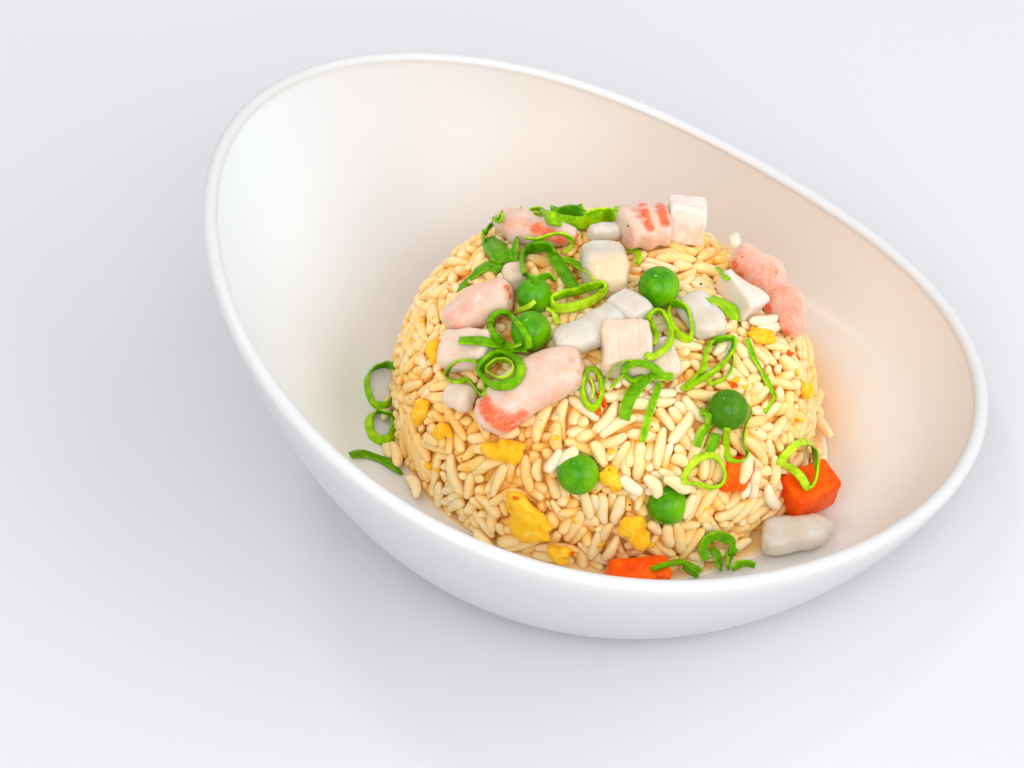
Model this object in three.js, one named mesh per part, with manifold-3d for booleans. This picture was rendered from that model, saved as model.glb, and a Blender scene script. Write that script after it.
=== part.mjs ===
// Slanted porcelain bowl with a moulded dome of fried rice.
// Millimetres, +Z up. The origin is on the table, under the middle of the bowl's
// bounding box. +X points to the low, narrow end of the rim and -X to the high end.
// The bowl mirrors itself across the XZ plane.

import * as THREE from 'three';
import { mergeVertices } from 'three/addons/utils/BufferGeometryUtils.js';
import Module from 'manifold-3d';

const wasm = await Module();
wasm.setup();

// ---------- driving sizes ----------
const GAP = 0.3;                 // clearance between neighbouring pieces

// Bowl: plan radius and height of the rim as even cosine series of the angle from +X
const RIM_CENTRE_X = 3.7;        // pole that the rim's plan radius is measured from
const RIM_RADIUS = 79.8, RIM_EGG = [-6.68, 0.75, 2.98];
const RIM_HEIGHT = 40.4, RIM_SLANT = [-24.1, 3.06, -0.27];
const BASE_RADIUS = 55.3;        // flat underside
const BASE_SHIFT = 2.28;         // underside lies this far towards the low end
const BELLY = 1.287;             // how full the wall's curve is (1 = straight)
const WALL = 3.0;                // wall and rounded lip
const FLOOR = 4.5;               // thickness of the bottom
const HEEL = 1.6;                // softness of the inner corner at the floor

// Dome of rice
const DOME = { x: 0.6, y: 1.8, radius: 45, skew: -1.2, height: 40, full: 2.8 };
const LUMP = 0.85;               // unevenness of the heap's outline

const TAU = Math.PI * 2, RAD = Math.PI / 180;

// ---------- small helpers ----------
const V = (x, y, z) => new THREE.Vector3(x, y, z);
const series = (mean, c, a) => mean + c.reduce((s, k, i) => s + k * Math.cos((i + 1) * a), 0);

// Closed skin over a stack of loops of equal length, ended by a point at each end
function skin(loops, first, last) {
  const n = loops[0].length, pts = [first, ...loops.flat(), last], idx = [];
  const at = (r, i) => 1 + r * n + (i % n);
  for (let i = 0; i < n; i++) idx.push(0, at(0, i + 1), at(0, i));
  for (let r = 0; r + 1 < loops.length; r++)
    for (let i = 0; i < n; i++)
      idx.push(at(r, i), at(r, i + 1), at(r + 1, i), at(r, i + 1), at(r + 1, i + 1), at(r + 1, i));
  const e = pts.length - 1, k = loops.length - 1;
  for (let i = 0; i < n; i++) idx.push(at(k, i), at(k, i + 1), e);
  let vol = 0;
  for (let t = 0; t < idx.length; t += 3)
    vol += pts[idx[t]].dot(V(0, 0, 0).crossVectors(pts[idx[t + 1]], pts[idx[t + 2]]));
  if (vol < 0) for (let t = 0; t < idx.length; t += 3) [idx[t + 1], idx[t + 2]] = [idx[t + 2], idx[t + 1]];
  const g = new THREE.BufferGeometry();
  g.setAttribute('position', new THREE.Float32BufferAttribute(pts.flatMap(p => [p.x, p.y, p.z]), 3));
  g.setIndex(idx);
  return g;
}

function toSolid(geometry) {
  let g = geometry.clone();
  for (const k of Object.keys(g.attributes)) if (k !== 'position') g.deleteAttribute(k);
  g = mergeVertices(g, 1e-4);
  return new wasm.Manifold(new wasm.Mesh({
    numProp: 3,
    vertProperties: Float32Array.from(g.attributes.position.array),
    triVerts: Uint32Array.from(g.index.array),
  }));
}

function toGeometry(solid) {
  const m = solid.getMesh(), g = new THREE.BufferGeometry();
  const pos = new Float32Array((m.vertProperties.length / m.numProp) * 3);
  for (let i = 0; i < pos.length / 3; i++)
    for (let k = 0; k < 3; k++) pos[i * 3 + k] = m.vertProperties[i * m.numProp + k];
  g.setAttribute('position', new THREE.BufferAttribute(pos, 3));
  g.setIndex(Array.from(m.triVerts));
  return g;
}

const biggest = solid => solid.decompose().sort((a, b) => b.volume() - a.volume())[0];

// ---------- bowl ----------
const wallOut = s => Math.pow(1 - Math.pow(1 - s, BELLY), 1 / BELLY);
const softMax = (a, b, w) => { const h = Math.max(w - Math.abs(a - b), 0) / w; return Math.max(a, b) + h * h * w / 4; };

// One point of the outer wall: angle a from +X, s = 0 at the underside and 1 at the rim
function outerPoint(a, s) {
  const R = series(RIM_RADIUS, RIM_EGG, a) - WALL * 0.5, H = series(RIM_HEIGHT, RIM_SLANT, a) - WALL * 0.4;
  const r = BASE_RADIUS + (R + WALL * 0.5 - BASE_RADIUS) * wallOut(s);
  return { r, z: H * s, cx: RIM_CENTRE_X + BASE_SHIFT * (1 - s) };
}

function bowlGeometry(around = 56, up = 7, lip = 4) {
  const section = a => {
    const out = [], inn = [];
    const pt = s => outerPoint(a, s);
    for (let i = 0; i <= up; i++) {
      const s = Math.pow(i / up, 1.7), p = pt(s), d = 1e-3;
      const lo = pt(Math.max(s - d, 0)), hi = pt(Math.min(s + d, 1));
      let tr = hi.r - lo.r, tz = hi.z - lo.z;
      if (i === up) { tr = 0; tz = 1; }
      const l = Math.hypot(tr, tz), nr = -tz / l, nz = tr / l;
      out.push(p);
      inn.push({ r: p.r + nr * WALL, z: softMax(FLOOR, p.z + nz * WALL, HEEL), cx: p.cx });
    }
    const top = out[up], arc = [];
    for (let k = 1; k < lip; k++) {
      const w = (k / lip) * Math.PI;
      arc.push({ r: top.r - WALL * 0.5 * (1 - Math.cos(w)), z: top.z + WALL * 0.5 * Math.sin(w), cx: top.cx });
    }
    return [...out, ...arc, ...inn.reverse(), { r: (BASE_RADIUS - WALL) * 0.5, z: FLOOR, cx: out[0].cx }];
  };
  const loops = [];
  for (let i = 0; i < around; i++) {
    const a = (i / around) * TAU;
    section(a).forEach((p, r) => (loops[r] ??= []).push(V(p.cx + p.r * Math.cos(a), p.r * Math.sin(a), p.z)));
  }
  const bx = RIM_CENTRE_X + BASE_SHIFT;
  return skin(loops, V(bx, 0, 0), V(bx, 0, FLOOR));
}

// ---------- dome of rice ----------
const domeRadius = a => DOME.radius + DOME.skew * Math.sin(2 * a);

// Lumps of the heap, as a small push outwards at azimuth a and latitude w
const lump = (a, w) => LUMP * (0.5 * Math.sin(5 * a + 3 * w + 0.6) + 0.32 * Math.sin(9 * a - 5 * w + 2.1)
  + 0.3 * Math.sin(14 * a + 9 * w) * Math.cos(6 * w));

function moundGeometry(around = 44, up = 10) {
  const loops = [], z0 = FLOOR + GAP;
  for (let j = 0; j < up; j++) {
    const w = Math.pow(j / up, 1.35) * Math.PI / 2, loop = [];
    for (let i = 0; i < around; i++) {
      const a = ((i + 0.5 * (j % 2)) / around) * TAU;
      const k = 1 + lump(a, w) / DOME.radius;
      const r = domeRadius(a) * Math.pow(Math.cos(w), 2 / DOME.full) * k;
      const z = (DOME.height - GAP) * Math.pow(Math.sin(w), 2 / DOME.full) * (j ? k : 1);
      loop.push(V(DOME.x + r * Math.cos(a), DOME.y + r * Math.sin(a), z0 + z));
    }
    loops.push(loop);
  }
  return skin(loops, V(DOME.x, DOME.y, z0), V(DOME.x, DOME.y, z0 + DOME.height - GAP));
}

// Frame on the dome's skin: direction az / el from the middle of its foot, raised by lift
function domeFrame(az, el, lift) {
  const a = az * RAD, e = el * RAD, n = DOME.full;
  const reach = (ra, ha) => Math.pow(Math.pow(Math.cos(e) / ra, n) + Math.pow(Math.sin(e) / ha, n), -1 / n);
  const k = reach(domeRadius(a) + lift, DOME.height + lift);
  const p = V(Math.cos(e) * Math.cos(a), Math.cos(e) * Math.sin(a), Math.sin(e)).multiplyScalar(k);
  const hr = Math.hypot(p.x, p.y), gr = Math.pow(hr / domeRadius(a), n - 1) / domeRadius(a);
  const gz = Math.pow(p.z / DOME.height, n - 1) / DOME.height;
  const normal = V(gr * Math.cos(a), gr * Math.sin(a), gz).normalize();
  const t1 = V(-Math.sin(a), Math.cos(a), 0);
  return { p: p.add(V(DOME.x, DOME.y, FLOOR)), t1, t2: V(0, 0, 0).crossVectors(normal, t1), normal };
}

// Seat a piece on the dome, or at a point in the bowl; spin turns it about its own
// upright, tilt about its own length and pitch about its own width
function seat(g, s) {
  const f = s.at ? { p: V(...s.at), t1: V(1, 0, 0), t2: V(0, 1, 0), normal: V(0, 0, 1) }
                 : domeFrame(s.az, s.el, s.lift);
  const m = new THREE.Matrix4().makeBasis(f.t1, f.t2, f.normal).setPosition(f.p);
  m.multiply(new THREE.Matrix4().makeRotationZ((s.spin ?? 0) * RAD));
  m.multiply(new THREE.Matrix4().makeRotationY((s.pitch ?? 0) * RAD));
  m.multiply(new THREE.Matrix4().makeRotationX((s.tilt ?? 0) * RAD));
  return g.applyMatrix4(m);
}

// ---------- shapes of the pieces; grow swells each for the pocket it lies in ----------
function ball(r, grow, around = 10, up = 6) {
  const loops = [], R = r + grow;
  for (let j = 1; j < up; j++) {
    const w = (j / up) * Math.PI, loop = [];
    for (let i = 0; i < around; i++) {
      const a = ((i + 0.5 * (j % 2)) / around) * TAU;
      loop.push(V(R * Math.sin(w) * Math.cos(a), R * Math.sin(w) * Math.sin(a), R * Math.cos(w)));
    }
    loops.push(loop);
  }
  return skin(loops, V(0, 0, R), V(0, 0, -R));
}

// Knife-cut block with broken edges; taper narrows its far end, lean skews its top
function block([l, w, h], grow, { taper = 0, lean = 0, edge = 0.8 } = {}) {
  const X = l / 2 + grow, Y = w / 2 + grow, Z = h / 2 + grow, c = edge;
  const loop = (z, inset) => {
    const x = X - inset, y = Y - inset, k = Math.max(c - inset * 0.4, 0.2);
    return [[x, -y + k], [x, y - k], [x - k, y], [-x + k, y], [-x, y - k], [-x, -y + k], [-x + k, -y], [x - k, -y]]
      .map(([px, py]) => V(px + lean * z, py * (1 - taper * (px / l + 0.5)), z));
  };
  return skin([loop(-Z, c), loop(-Z + c, 0), loop(Z - c, 0), loop(Z, c)], V(-lean * Z, 0, -Z), V(lean * Z, 0, Z));
}

// Bent, rounded body: an arc of the given length and turn, with an oval section that
// swells in ribs and narrows to the ends
function bent({ length, turn = 0, width, thick, head = 0.8, tail = 0.6, ribs = 0, rib = 0.08 }, grow, steps = 8, around = 9) {
  const loops = [], T = turn * RAD, end = 0.42;
  const centre = t => {
    const u = (t - 0.5) * T;
    return Math.abs(T) < 1e-3 ? { x: (t - 0.5) * length, y: 0, u: 0 }
      : { x: (length / T) * Math.sin(u), y: (length / T) * (Math.cos(u) - Math.cos(T / 2) * 0.5 - 0.5), u: -u };
  };
  const swell = t => {
    const e = t < 0.5 ? head : tail, d = Math.abs(t - 0.5) * 2;
    const round = Math.sqrt(Math.max(1 - Math.pow(Math.max(d - (1 - end), 0) / end, 2.6), 0));
    return (1 - (1 - e) * d * d) * (0.32 + 0.68 * round) * (1 + rib * Math.cos(ribs * TAU * t) * (ribs ? 1 : 0));
  };
  for (let j = 0; j <= steps; j++) {
    const t = j / steps, c = centre(t), k = swell(t), loop = [];
    const out = V(Math.cos(c.u), Math.sin(c.u), 0), side = V(-out.y, out.x, 0);
    const slide = j === 0 ? -grow : j === steps ? grow : 0;
    for (let i = 0; i < around; i++) {
      const a = (i / around) * TAU;
      loop.push(V(c.x, c.y, 0).addScaledVector(out, slide)
        .addScaledVector(side, (width / 2 * k + grow) * Math.cos(a))
        .add(V(0, 0, (thick / 2 * k + grow) * Math.sin(a))));
    }
    loops.push(loop);
  }
  const cap = (t, d) => { const c = centre(t); return V(c.x + Math.cos(c.u) * d, c.y + Math.sin(c.u) * d, 0); };
  return skin(loops, cap(0, -0.06 * width - grow), cap(1, 0.06 * width + grow));
}

// Torn scrap of fried egg: a lens with a wandering edge
function scrap([l, w, h], seed, grow, around = 9) {
  const edge = a => 1 + 0.16 * Math.sin(2 * a + seed) + 0.12 * Math.sin(3 * a + 2.3 * seed) + 0.07 * Math.sin(5 * a + 4 * seed);
  const loop = (k, z) => Array.from({ length: around }, (_, i) => {
    const a = (i / around) * TAU, e = edge(a);
    return V((l / 2 * k * e + grow) * Math.cos(a), (w / 2 * k * e + grow) * Math.sin(a),
      z * (h / 2 + grow) + 0.12 * h * Math.sin(2 * a + seed));
  });
  return skin([loop(0.7, -0.8), loop(1, -0.1), loop(0.78, 0.7)], V(0, 0, -h / 2 - grow), V(0, 0, h / 2 + grow));
}

// ---------- the pieces on the rice, each with its own size and seat ----------
const PEAS = [
  { name: 'pea_1', r: 4.35, az: -28.4, el: 75.4, lift: 2.2 },
  { name: 'pea_2', r: 3.7, az: -162.1, el: 68.0, lift: 1.5 },
  { name: 'pea_3', r: 4.15, az: -139.1, el: 60.5, lift: 1.5 },
  { name: 'pea_4', r: 4.25, az: -56.6, el: 40.2, lift: 2.2 },
  { name: 'pea_5', r: 4.2, az: -102.6, el: 30.2, lift: 0.5 },
  { name: 'pea_6', r: 4.1, az: -77.9, el: 21.0, lift: -1.0 },
];
const CARROTS = [
  { name: 'carrot_1', size: [10.6, 8.2, 8.2], at: [40.4, -26.8, 10.6], spin: 24, tilt: 14, pitch: -8, taper: 0.12, lean: 0.1 },
  { name: 'carrot_2', size: [7.2, 7.2, 6.6], az: -57.6, el: 24.0, lift: -2.2, spin: -24, taper: 0.1, lean: 0 },
  { name: 'carrot_3', size: [12, 7, 6], at: [3.6, -47.6, 8.6], spin: 8, tilt: 12, pitch: 0, taper: 0.25, lean: 0.1 },
];
const SHRIMPS = [
  { name: 'shrimp_1', length: 20, turn: -55, width: 7.2, thick: 6.4, head: 0.9, tail: 0.55, ribs: 3, az: 128.1, el: 61.1, lift: 1.6, spin: 103 },
  { name: 'shrimp_2', length: 14.5, turn: 45, width: 9, thick: 7, head: 0.8, tail: 0.85, ribs: 2, az: -168.7, el: 54.1, lift: 1.4, spin: 93.5 },
  { name: 'shrimp_3', length: 10.6, turn: 10, width: 11.8, thick: 8, head: 0.95, tail: 0.9, ribs: 2, az: 58.2, el: 69.0, lift: 3.2, spin: -138.4 },
  { name: 'shrimp_4', length: 23.5, turn: 80, width: 9, thick: 7.6, head: 0.85, tail: 0.6, ribs: 3, az: 1.3, el: 46.3, lift: 1.8, spin: -147.3 },
  { name: 'shrimp_5', length: 23.5, turn: -50, width: 10.6, thick: 8, head: 0.92, tail: 0.8, ribs: 3, az: -122.6, el: 46.6, lift: 1.8, spin: -125.5 },
];
const SQUIDS = [
  { name: 'squid_1', length: 16.5, turn: -55, width: 6, thick: 5, head: 0.85, tail: 0.85, az: -107.8, el: 67.7, lift: 2.0, spin: 47.4 },
  { name: 'squid_2', length: 8.2, turn: 0, width: 7, thick: 6, head: 0.9, tail: 0.9, az: -75.8, el: 73.5, lift: 2.0, spin: -63.9 },
  { name: 'squid_3', length: 12.5, turn: 12, width: 9.2, thick: 7, head: 0.95, tail: 0.8, az: 121.9, el: 88.0, lift: 1.8, spin: 61.1 },
  { name: 'squid_4', length: 7.6, turn: 25, width: 3.8, thick: 3.8, head: 0.9, tail: 0.85, az: 88.1, el: 73.1, lift: 2.4, spin: -176.9 },
  { name: 'squid_5', length: 11, turn: 20, width: 8, thick: 5, head: 0.85, tail: 0.85, az: -32.7, el: 62.2, lift: 0.8, spin: -120.4 },
  { name: 'squid_6', length: 14.8, turn: -25, width: 7.6, thick: 5.4, head: 0.85, tail: 0.8, at: [37.0, -35.6, 7.7], spin: 14 },
];
const SURIMIS = [
  { name: 'surimi_1', size: [8.2, 7.4, 8.8], az: 44.8, el: 59.2, lift: 3.4, spin: -135, tilt: 0, taper: 0.12, lean: -0.1 },
  { name: 'surimi_2', size: [10.4, 9.2, 7], az: -85.9, el: 61.2, lift: 1.8, spin: -96, taper: -0.06, lean: 0 },
  { name: 'surimi_3', size: [8.6, 5.6, 5], az: -69.4, el: 57.1, lift: 0.6, spin: -102, taper: 0.1, lean: 0 },
  { name: 'surimi_4', size: [10.4, 6.4, 6], az: -7.5, el: 54.9, lift: 1.2, spin: 47.7, taper: 0.75, lean: 0 },
  { name: 'surimi_5', size: [11.4, 8.2, 6], az: -154.6, el: 46.6, lift: 1.0, spin: 45.3, taper: 0.15, lean: 0 },
  { name: 'surimi_6', size: [7, 6, 5], az: -145.5, el: 36.9, lift: 0.8, spin: 17.5, taper: 0.1, lean: 0, edge: 1.5 },
  { name: 'surimi_7', size: [5.4, 4.6, 4.4], az: 175.2, el: 64.7, lift: 1.2, spin: 8, taper: 0.1, lean: 0 },
];
const EGGS = [
  { name: 'egg_1', size: [8.2, 5.6, 3.2], az: -124.9, el: 30.8, lift: 0.2, spin: 16 },
  { name: 'egg_2', size: [13, 7.8, 3.8], az: -115.2, el: 14.7, lift: 0.4, spin: -37 },
  { name: 'egg_3', size: [4.8, 3.6, 2.8], az: -166.6, el: 38.5, lift: 0.3, spin: -53 },
  { name: 'egg_4', size: [6.6, 3.8, 2.8], az: -157.9, el: 25.1, lift: 0.2, spin: -86 },
  { name: 'egg_5', size: [4.8, 3.2, 2.6], az: -147.0, el: 26.2, lift: 0.2, spin: 22 },
  { name: 'egg_6', size: [8, 5.8, 3.2], az: -86.9, el: 15.2, lift: 0.2, spin: -45 },
  { name: 'egg_7', size: [6, 3.4, 2.8], az: -106.0, el: 6.0, lift: 0.3, spin: -13 },
  { name: 'egg_8', size: [6, 3.6, 2.8], az: -93.4, el: 29.5, lift: 0.1, spin: -78 },
  { name: 'egg_9', size: [7, 3.6, 2.8], az: -21.1, el: 46.0, lift: 0.2, spin: -51 },
  { name: 'egg_10', size: [3.8, 3, 2.6], az: -21.4, el: 27.4, lift: 0.2, spin: -125 },
];

const SLOTS = {
  porcelain: { color: 0xf4f2ee, roughness: 0.15 },
  rice: { color: 0xf0cf9f, roughness: 0.55 },
  pea: { color: 0x3f9a12, roughness: 0.35 },
  carrot: { color: 0xf2530e, roughness: 0.35 },
  shrimp: { color: 0xf3c3a8, roughness: 0.4 },
  squid: { color: 0xf1ece4, roughness: 0.35 },
  surimi: { color: 0xf7ece2, roughness: 0.45 },
  egg: { color: 0xf6bf3a, roughness: 0.5 },
};

const makers = [
  ['pea', PEAS, (s, g) => ball(s.r, g)],
  ['carrot', CARROTS, (s, g) => block(s.size, g, s)],
  ['shrimp', SHRIMPS, (s, g) => bent(s, g)],
  ['squid', SQUIDS, (s, g) => bent(s, g, 6, 8)],
  ['surimi', SURIMIS, (s, g) => block(s.size, g, s)],
  ['egg', EGGS, (s, g) => scrap(s.size, s.size[0] * 1.7 + s.az * 0.05, g)],
];

// ---------- assembly ----------
const group = new THREE.Group();
group.name = 'fried_rice_in_bowl';

function add(name, slot, geometry) {
  geometry.computeVertexNormals();
  const mesh = new THREE.Mesh(geometry, new THREE.MeshStandardMaterial({ ...SLOTS[slot], metalness: 0 }));
  mesh.name = name;
  mesh.material.name = slot;
  group.add(mesh);
}

add('bowl', 'porcelain', bowlGeometry());

// Each piece gives way to the ones before it, and the rice gives way to them all
const placed = [];
for (const [slot, list, make] of makers)
  for (const s of list) {
    let solid = toSolid(seat(make(s, 0), s));
    for (const p of placed)
      if (solid.intersect(p.swollen).volume() > 1e-4) solid = biggest(solid.subtract(p.swollen));
    placed.push({ name: s.name, slot, solid, swollen: toSolid(seat(make(s, GAP), s)) });
  }

let mound = toSolid(moundGeometry());
for (const p of placed) if (mound.intersect(p.swollen).volume() > 1e-4) mound = mound.subtract(p.swollen);
add('rice_mound', 'rice', toGeometry(biggest(mound)));
for (const p of placed) add(p.name, p.slot, toGeometry(p.solid));

export default group;
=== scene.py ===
import math

import bpy
import numpy as np
from mathutils import Matrix, Vector
from mathutils.bvhtree import BVHTree


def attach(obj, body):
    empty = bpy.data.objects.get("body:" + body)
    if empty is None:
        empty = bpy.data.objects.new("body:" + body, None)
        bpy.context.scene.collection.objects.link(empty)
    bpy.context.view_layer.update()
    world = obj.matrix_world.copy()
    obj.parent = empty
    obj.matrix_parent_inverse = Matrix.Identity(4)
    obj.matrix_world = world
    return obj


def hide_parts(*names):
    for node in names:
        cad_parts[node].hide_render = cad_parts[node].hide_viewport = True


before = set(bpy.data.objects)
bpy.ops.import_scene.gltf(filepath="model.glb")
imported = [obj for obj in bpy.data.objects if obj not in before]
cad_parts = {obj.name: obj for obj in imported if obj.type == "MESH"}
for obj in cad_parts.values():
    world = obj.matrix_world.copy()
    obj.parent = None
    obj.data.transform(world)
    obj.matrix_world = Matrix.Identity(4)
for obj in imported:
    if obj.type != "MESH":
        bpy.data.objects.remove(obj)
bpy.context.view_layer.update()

# Lengths are in millimetres until a mesh is made. The numbers of the bowl, the dome
# and the seats of the pieces are those of part.mjs.
MM = 0.001
TAU = 2 * math.pi

# ---------------------------------------------------------------- camera
CAM_POS = np.array([-54.266, -462.971, 436.326])
CAM_FWD = np.array([0.05673, 0.74098, -0.66913])
CAM_RIGHT = np.array([0.99794, -0.06231, 0.0156])
CAM_DOWN = np.array([-0.03013, -0.66863, -0.74298])
FOCAL = 3000.0


def ray(u, v):
    d = CAM_FWD + CAM_RIGHT * (u - 512) / FOCAL + CAM_DOWN * (v - 384) / FOCAL
    return d / np.linalg.norm(d)


cam_data = bpy.data.cameras.new("camera")
cam_data.sensor_width = 36
cam_data.lens = FOCAL / 1024 * 36
cam_data.clip_start, cam_data.clip_end = 0.01, 20
cam = bpy.data.objects.new("camera", cam_data)
m = Matrix.Identity(4)
for r in range(3):
    m[r][0], m[r][1], m[r][2], m[r][3] = CAM_RIGHT[r], -CAM_DOWN[r], -CAM_FWD[r], CAM_POS[r] * MM
cam.matrix_world = m
bpy.context.scene.collection.objects.link(cam)
bpy.context.scene.camera = cam

# ---------------------------------------------------------------- small tools
_hash = np.random.default_rng(3).permutation(256)
_hash = np.concatenate([_hash, _hash])
_dirs = np.random.default_rng(4).normal(size=(256, 3))
_dirs /= np.linalg.norm(_dirs, axis=1)[:, None]


def noise(p, size, seed=0.0):
    """Smooth noise, about -0.7 to 0.7, with lumps of the given size."""
    q = np.asarray(p, float) / size + np.array([seed * 7.31, seed * 3.17, seed * 5.71])
    i = np.floor(q).astype(int)
    f = q - i
    i &= 255
    w = f * f * f * (f * (f * 6 - 15) + 10)
    out = 0.0
    for cx in (0, 1):
        for cy in (0, 1):
            for cz in (0, 1):
                h = _hash[_hash[_hash[(i[..., 0] + cx) & 255] + ((i[..., 1] + cy) & 255)] + ((i[..., 2] + cz) & 255)]
                g = (_dirs[h] * (f - np.array([cx, cy, cz]))).sum(-1)
                k = (w[..., 0] if cx else 1 - w[..., 0]) * (w[..., 1] if cy else 1 - w[..., 1]) * (w[..., 2] if cz else 1 - w[..., 2])
                out = out + g * k
    return out * 1.6


def unit(v):
    return v / np.maximum(np.linalg.norm(v, axis=-1, keepdims=True), 1e-9)


def smoothstep(a, b, x):
    t = np.clip((x - a) / (b - a), 0, 1)
    return t * t * (3 - 2 * t)


class Body:
    """Vertices and faces gathered from several parts, with values for each vertex."""

    def __init__(self):
        self.v, self.f, self.a, self.n = [], [], {}, 0

    def add(self, verts, faces, **values):
        verts = np.asarray(verts, float).reshape(-1, 3)
        for f in faces:
            self.f.append(np.asarray(f, int) + self.n)
        self.v.append(verts)
        for k in set(self.a) | set(values):
            got = np.broadcast_to(np.asarray(values.get(k, 0.0), float), (len(verts),))
            self.a.setdefault(k, [np.zeros(self.n)] if self.n else []).append(got)
        self.n += len(verts)

    def verts(self):
        return np.concatenate(self.v)

    def object(self, name, *materials):
        v = self.verts()
        polys = [f for f in self.f if len(f)]
        sizes = np.concatenate([np.full(len(f), f.shape[1]) for f in polys])
        corners = np.concatenate([f.reshape(-1) for f in polys])
        starts = np.concatenate([[0], np.cumsum(sizes)[:-1]])
        mesh = bpy.data.meshes.new(name)
        mesh.vertices.add(len(v))
        mesh.vertices.foreach_set("co", (v * MM).astype(np.float32).ravel())
        mesh.loops.add(len(corners))
        mesh.loops.foreach_set("vertex_index", corners.astype(np.int32))
        mesh.polygons.add(len(sizes))
        mesh.polygons.foreach_set("loop_start", starts.astype(np.int32))
        mesh.polygons.foreach_set("use_smooth", np.ones(len(sizes), bool))
        for k, parts in self.a.items():
            at = mesh.attributes.new(k, "FLOAT", "POINT")
            at.data.foreach_set("value", np.concatenate(parts).astype(np.float32))
        for mt in materials:
            mesh.materials.append(mt)
        mesh.update(calc_edges=True)
        mesh.validate()
        ob = bpy.data.objects.new(name, mesh)
        bpy.context.scene.collection.objects.link(ob)
        return ob


def loft(loops, first=None, last=None, closed_path=False):
    """Skin over a stack of loops (m, n, 3), ended by a point at each end or joined end to end."""
    loops = np.asarray(loops, float)
    m, n, _ = loops.shape
    v = loops.reshape(-1, 3)
    i = np.arange(n)
    j = (i + 1) % n
    quads = []
    for r in range(m if closed_path else m - 1):
        a, b = r * n, ((r + 1) % m) * n
        quads.append(np.stack([a + i, a + j, b + j, b + i], 1))
    tris = []
    if not closed_path:
        v = np.concatenate([v, [first], [last]])
        f, l = m * n, m * n + 1
        tris = [np.stack([np.full(n, f), j, i], 1), np.stack([np.full(n, l), (m - 1) * n + i, (m - 1) * n + j], 1)]
    q = np.concatenate(quads)
    # Turned outwards
    t = np.concatenate([q[:, [0, 1, 2]], q[:, [0, 2, 3]]] + tris)
    c = v[t]
    vol = (c[:, 0] * np.cross(c[:, 1], c[:, 2])).sum()
    if vol < 0:
        q = q[:, ::-1]
        tris = [x[:, ::-1] for x in tris]
    return v, [q] + tris


def vertex_normals(v, faces):
    out = np.zeros_like(v)
    for f in faces:
        if not len(f):
            continue
        c = v[f]
        nrm = np.cross(c[:, 1] - c[:, 0], c[:, 2] - c[:, 0])
        if f.shape[1] == 4:
            nrm = nrm + np.cross(c[:, 2] - c[:, 0], c[:, 3] - c[:, 0])
        for k in range(f.shape[1]):
            np.add.at(out, f[:, k], nrm)
    return unit(out)


def tri_faces(faces):
    out = []
    for f in faces:
        f = np.asarray(f)
        if f.shape[1] == 4:
            out += [f[:, [0, 1, 2]], f[:, [0, 2, 3]]]
        else:
            out.append(f)
    return np.concatenate(out)


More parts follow.
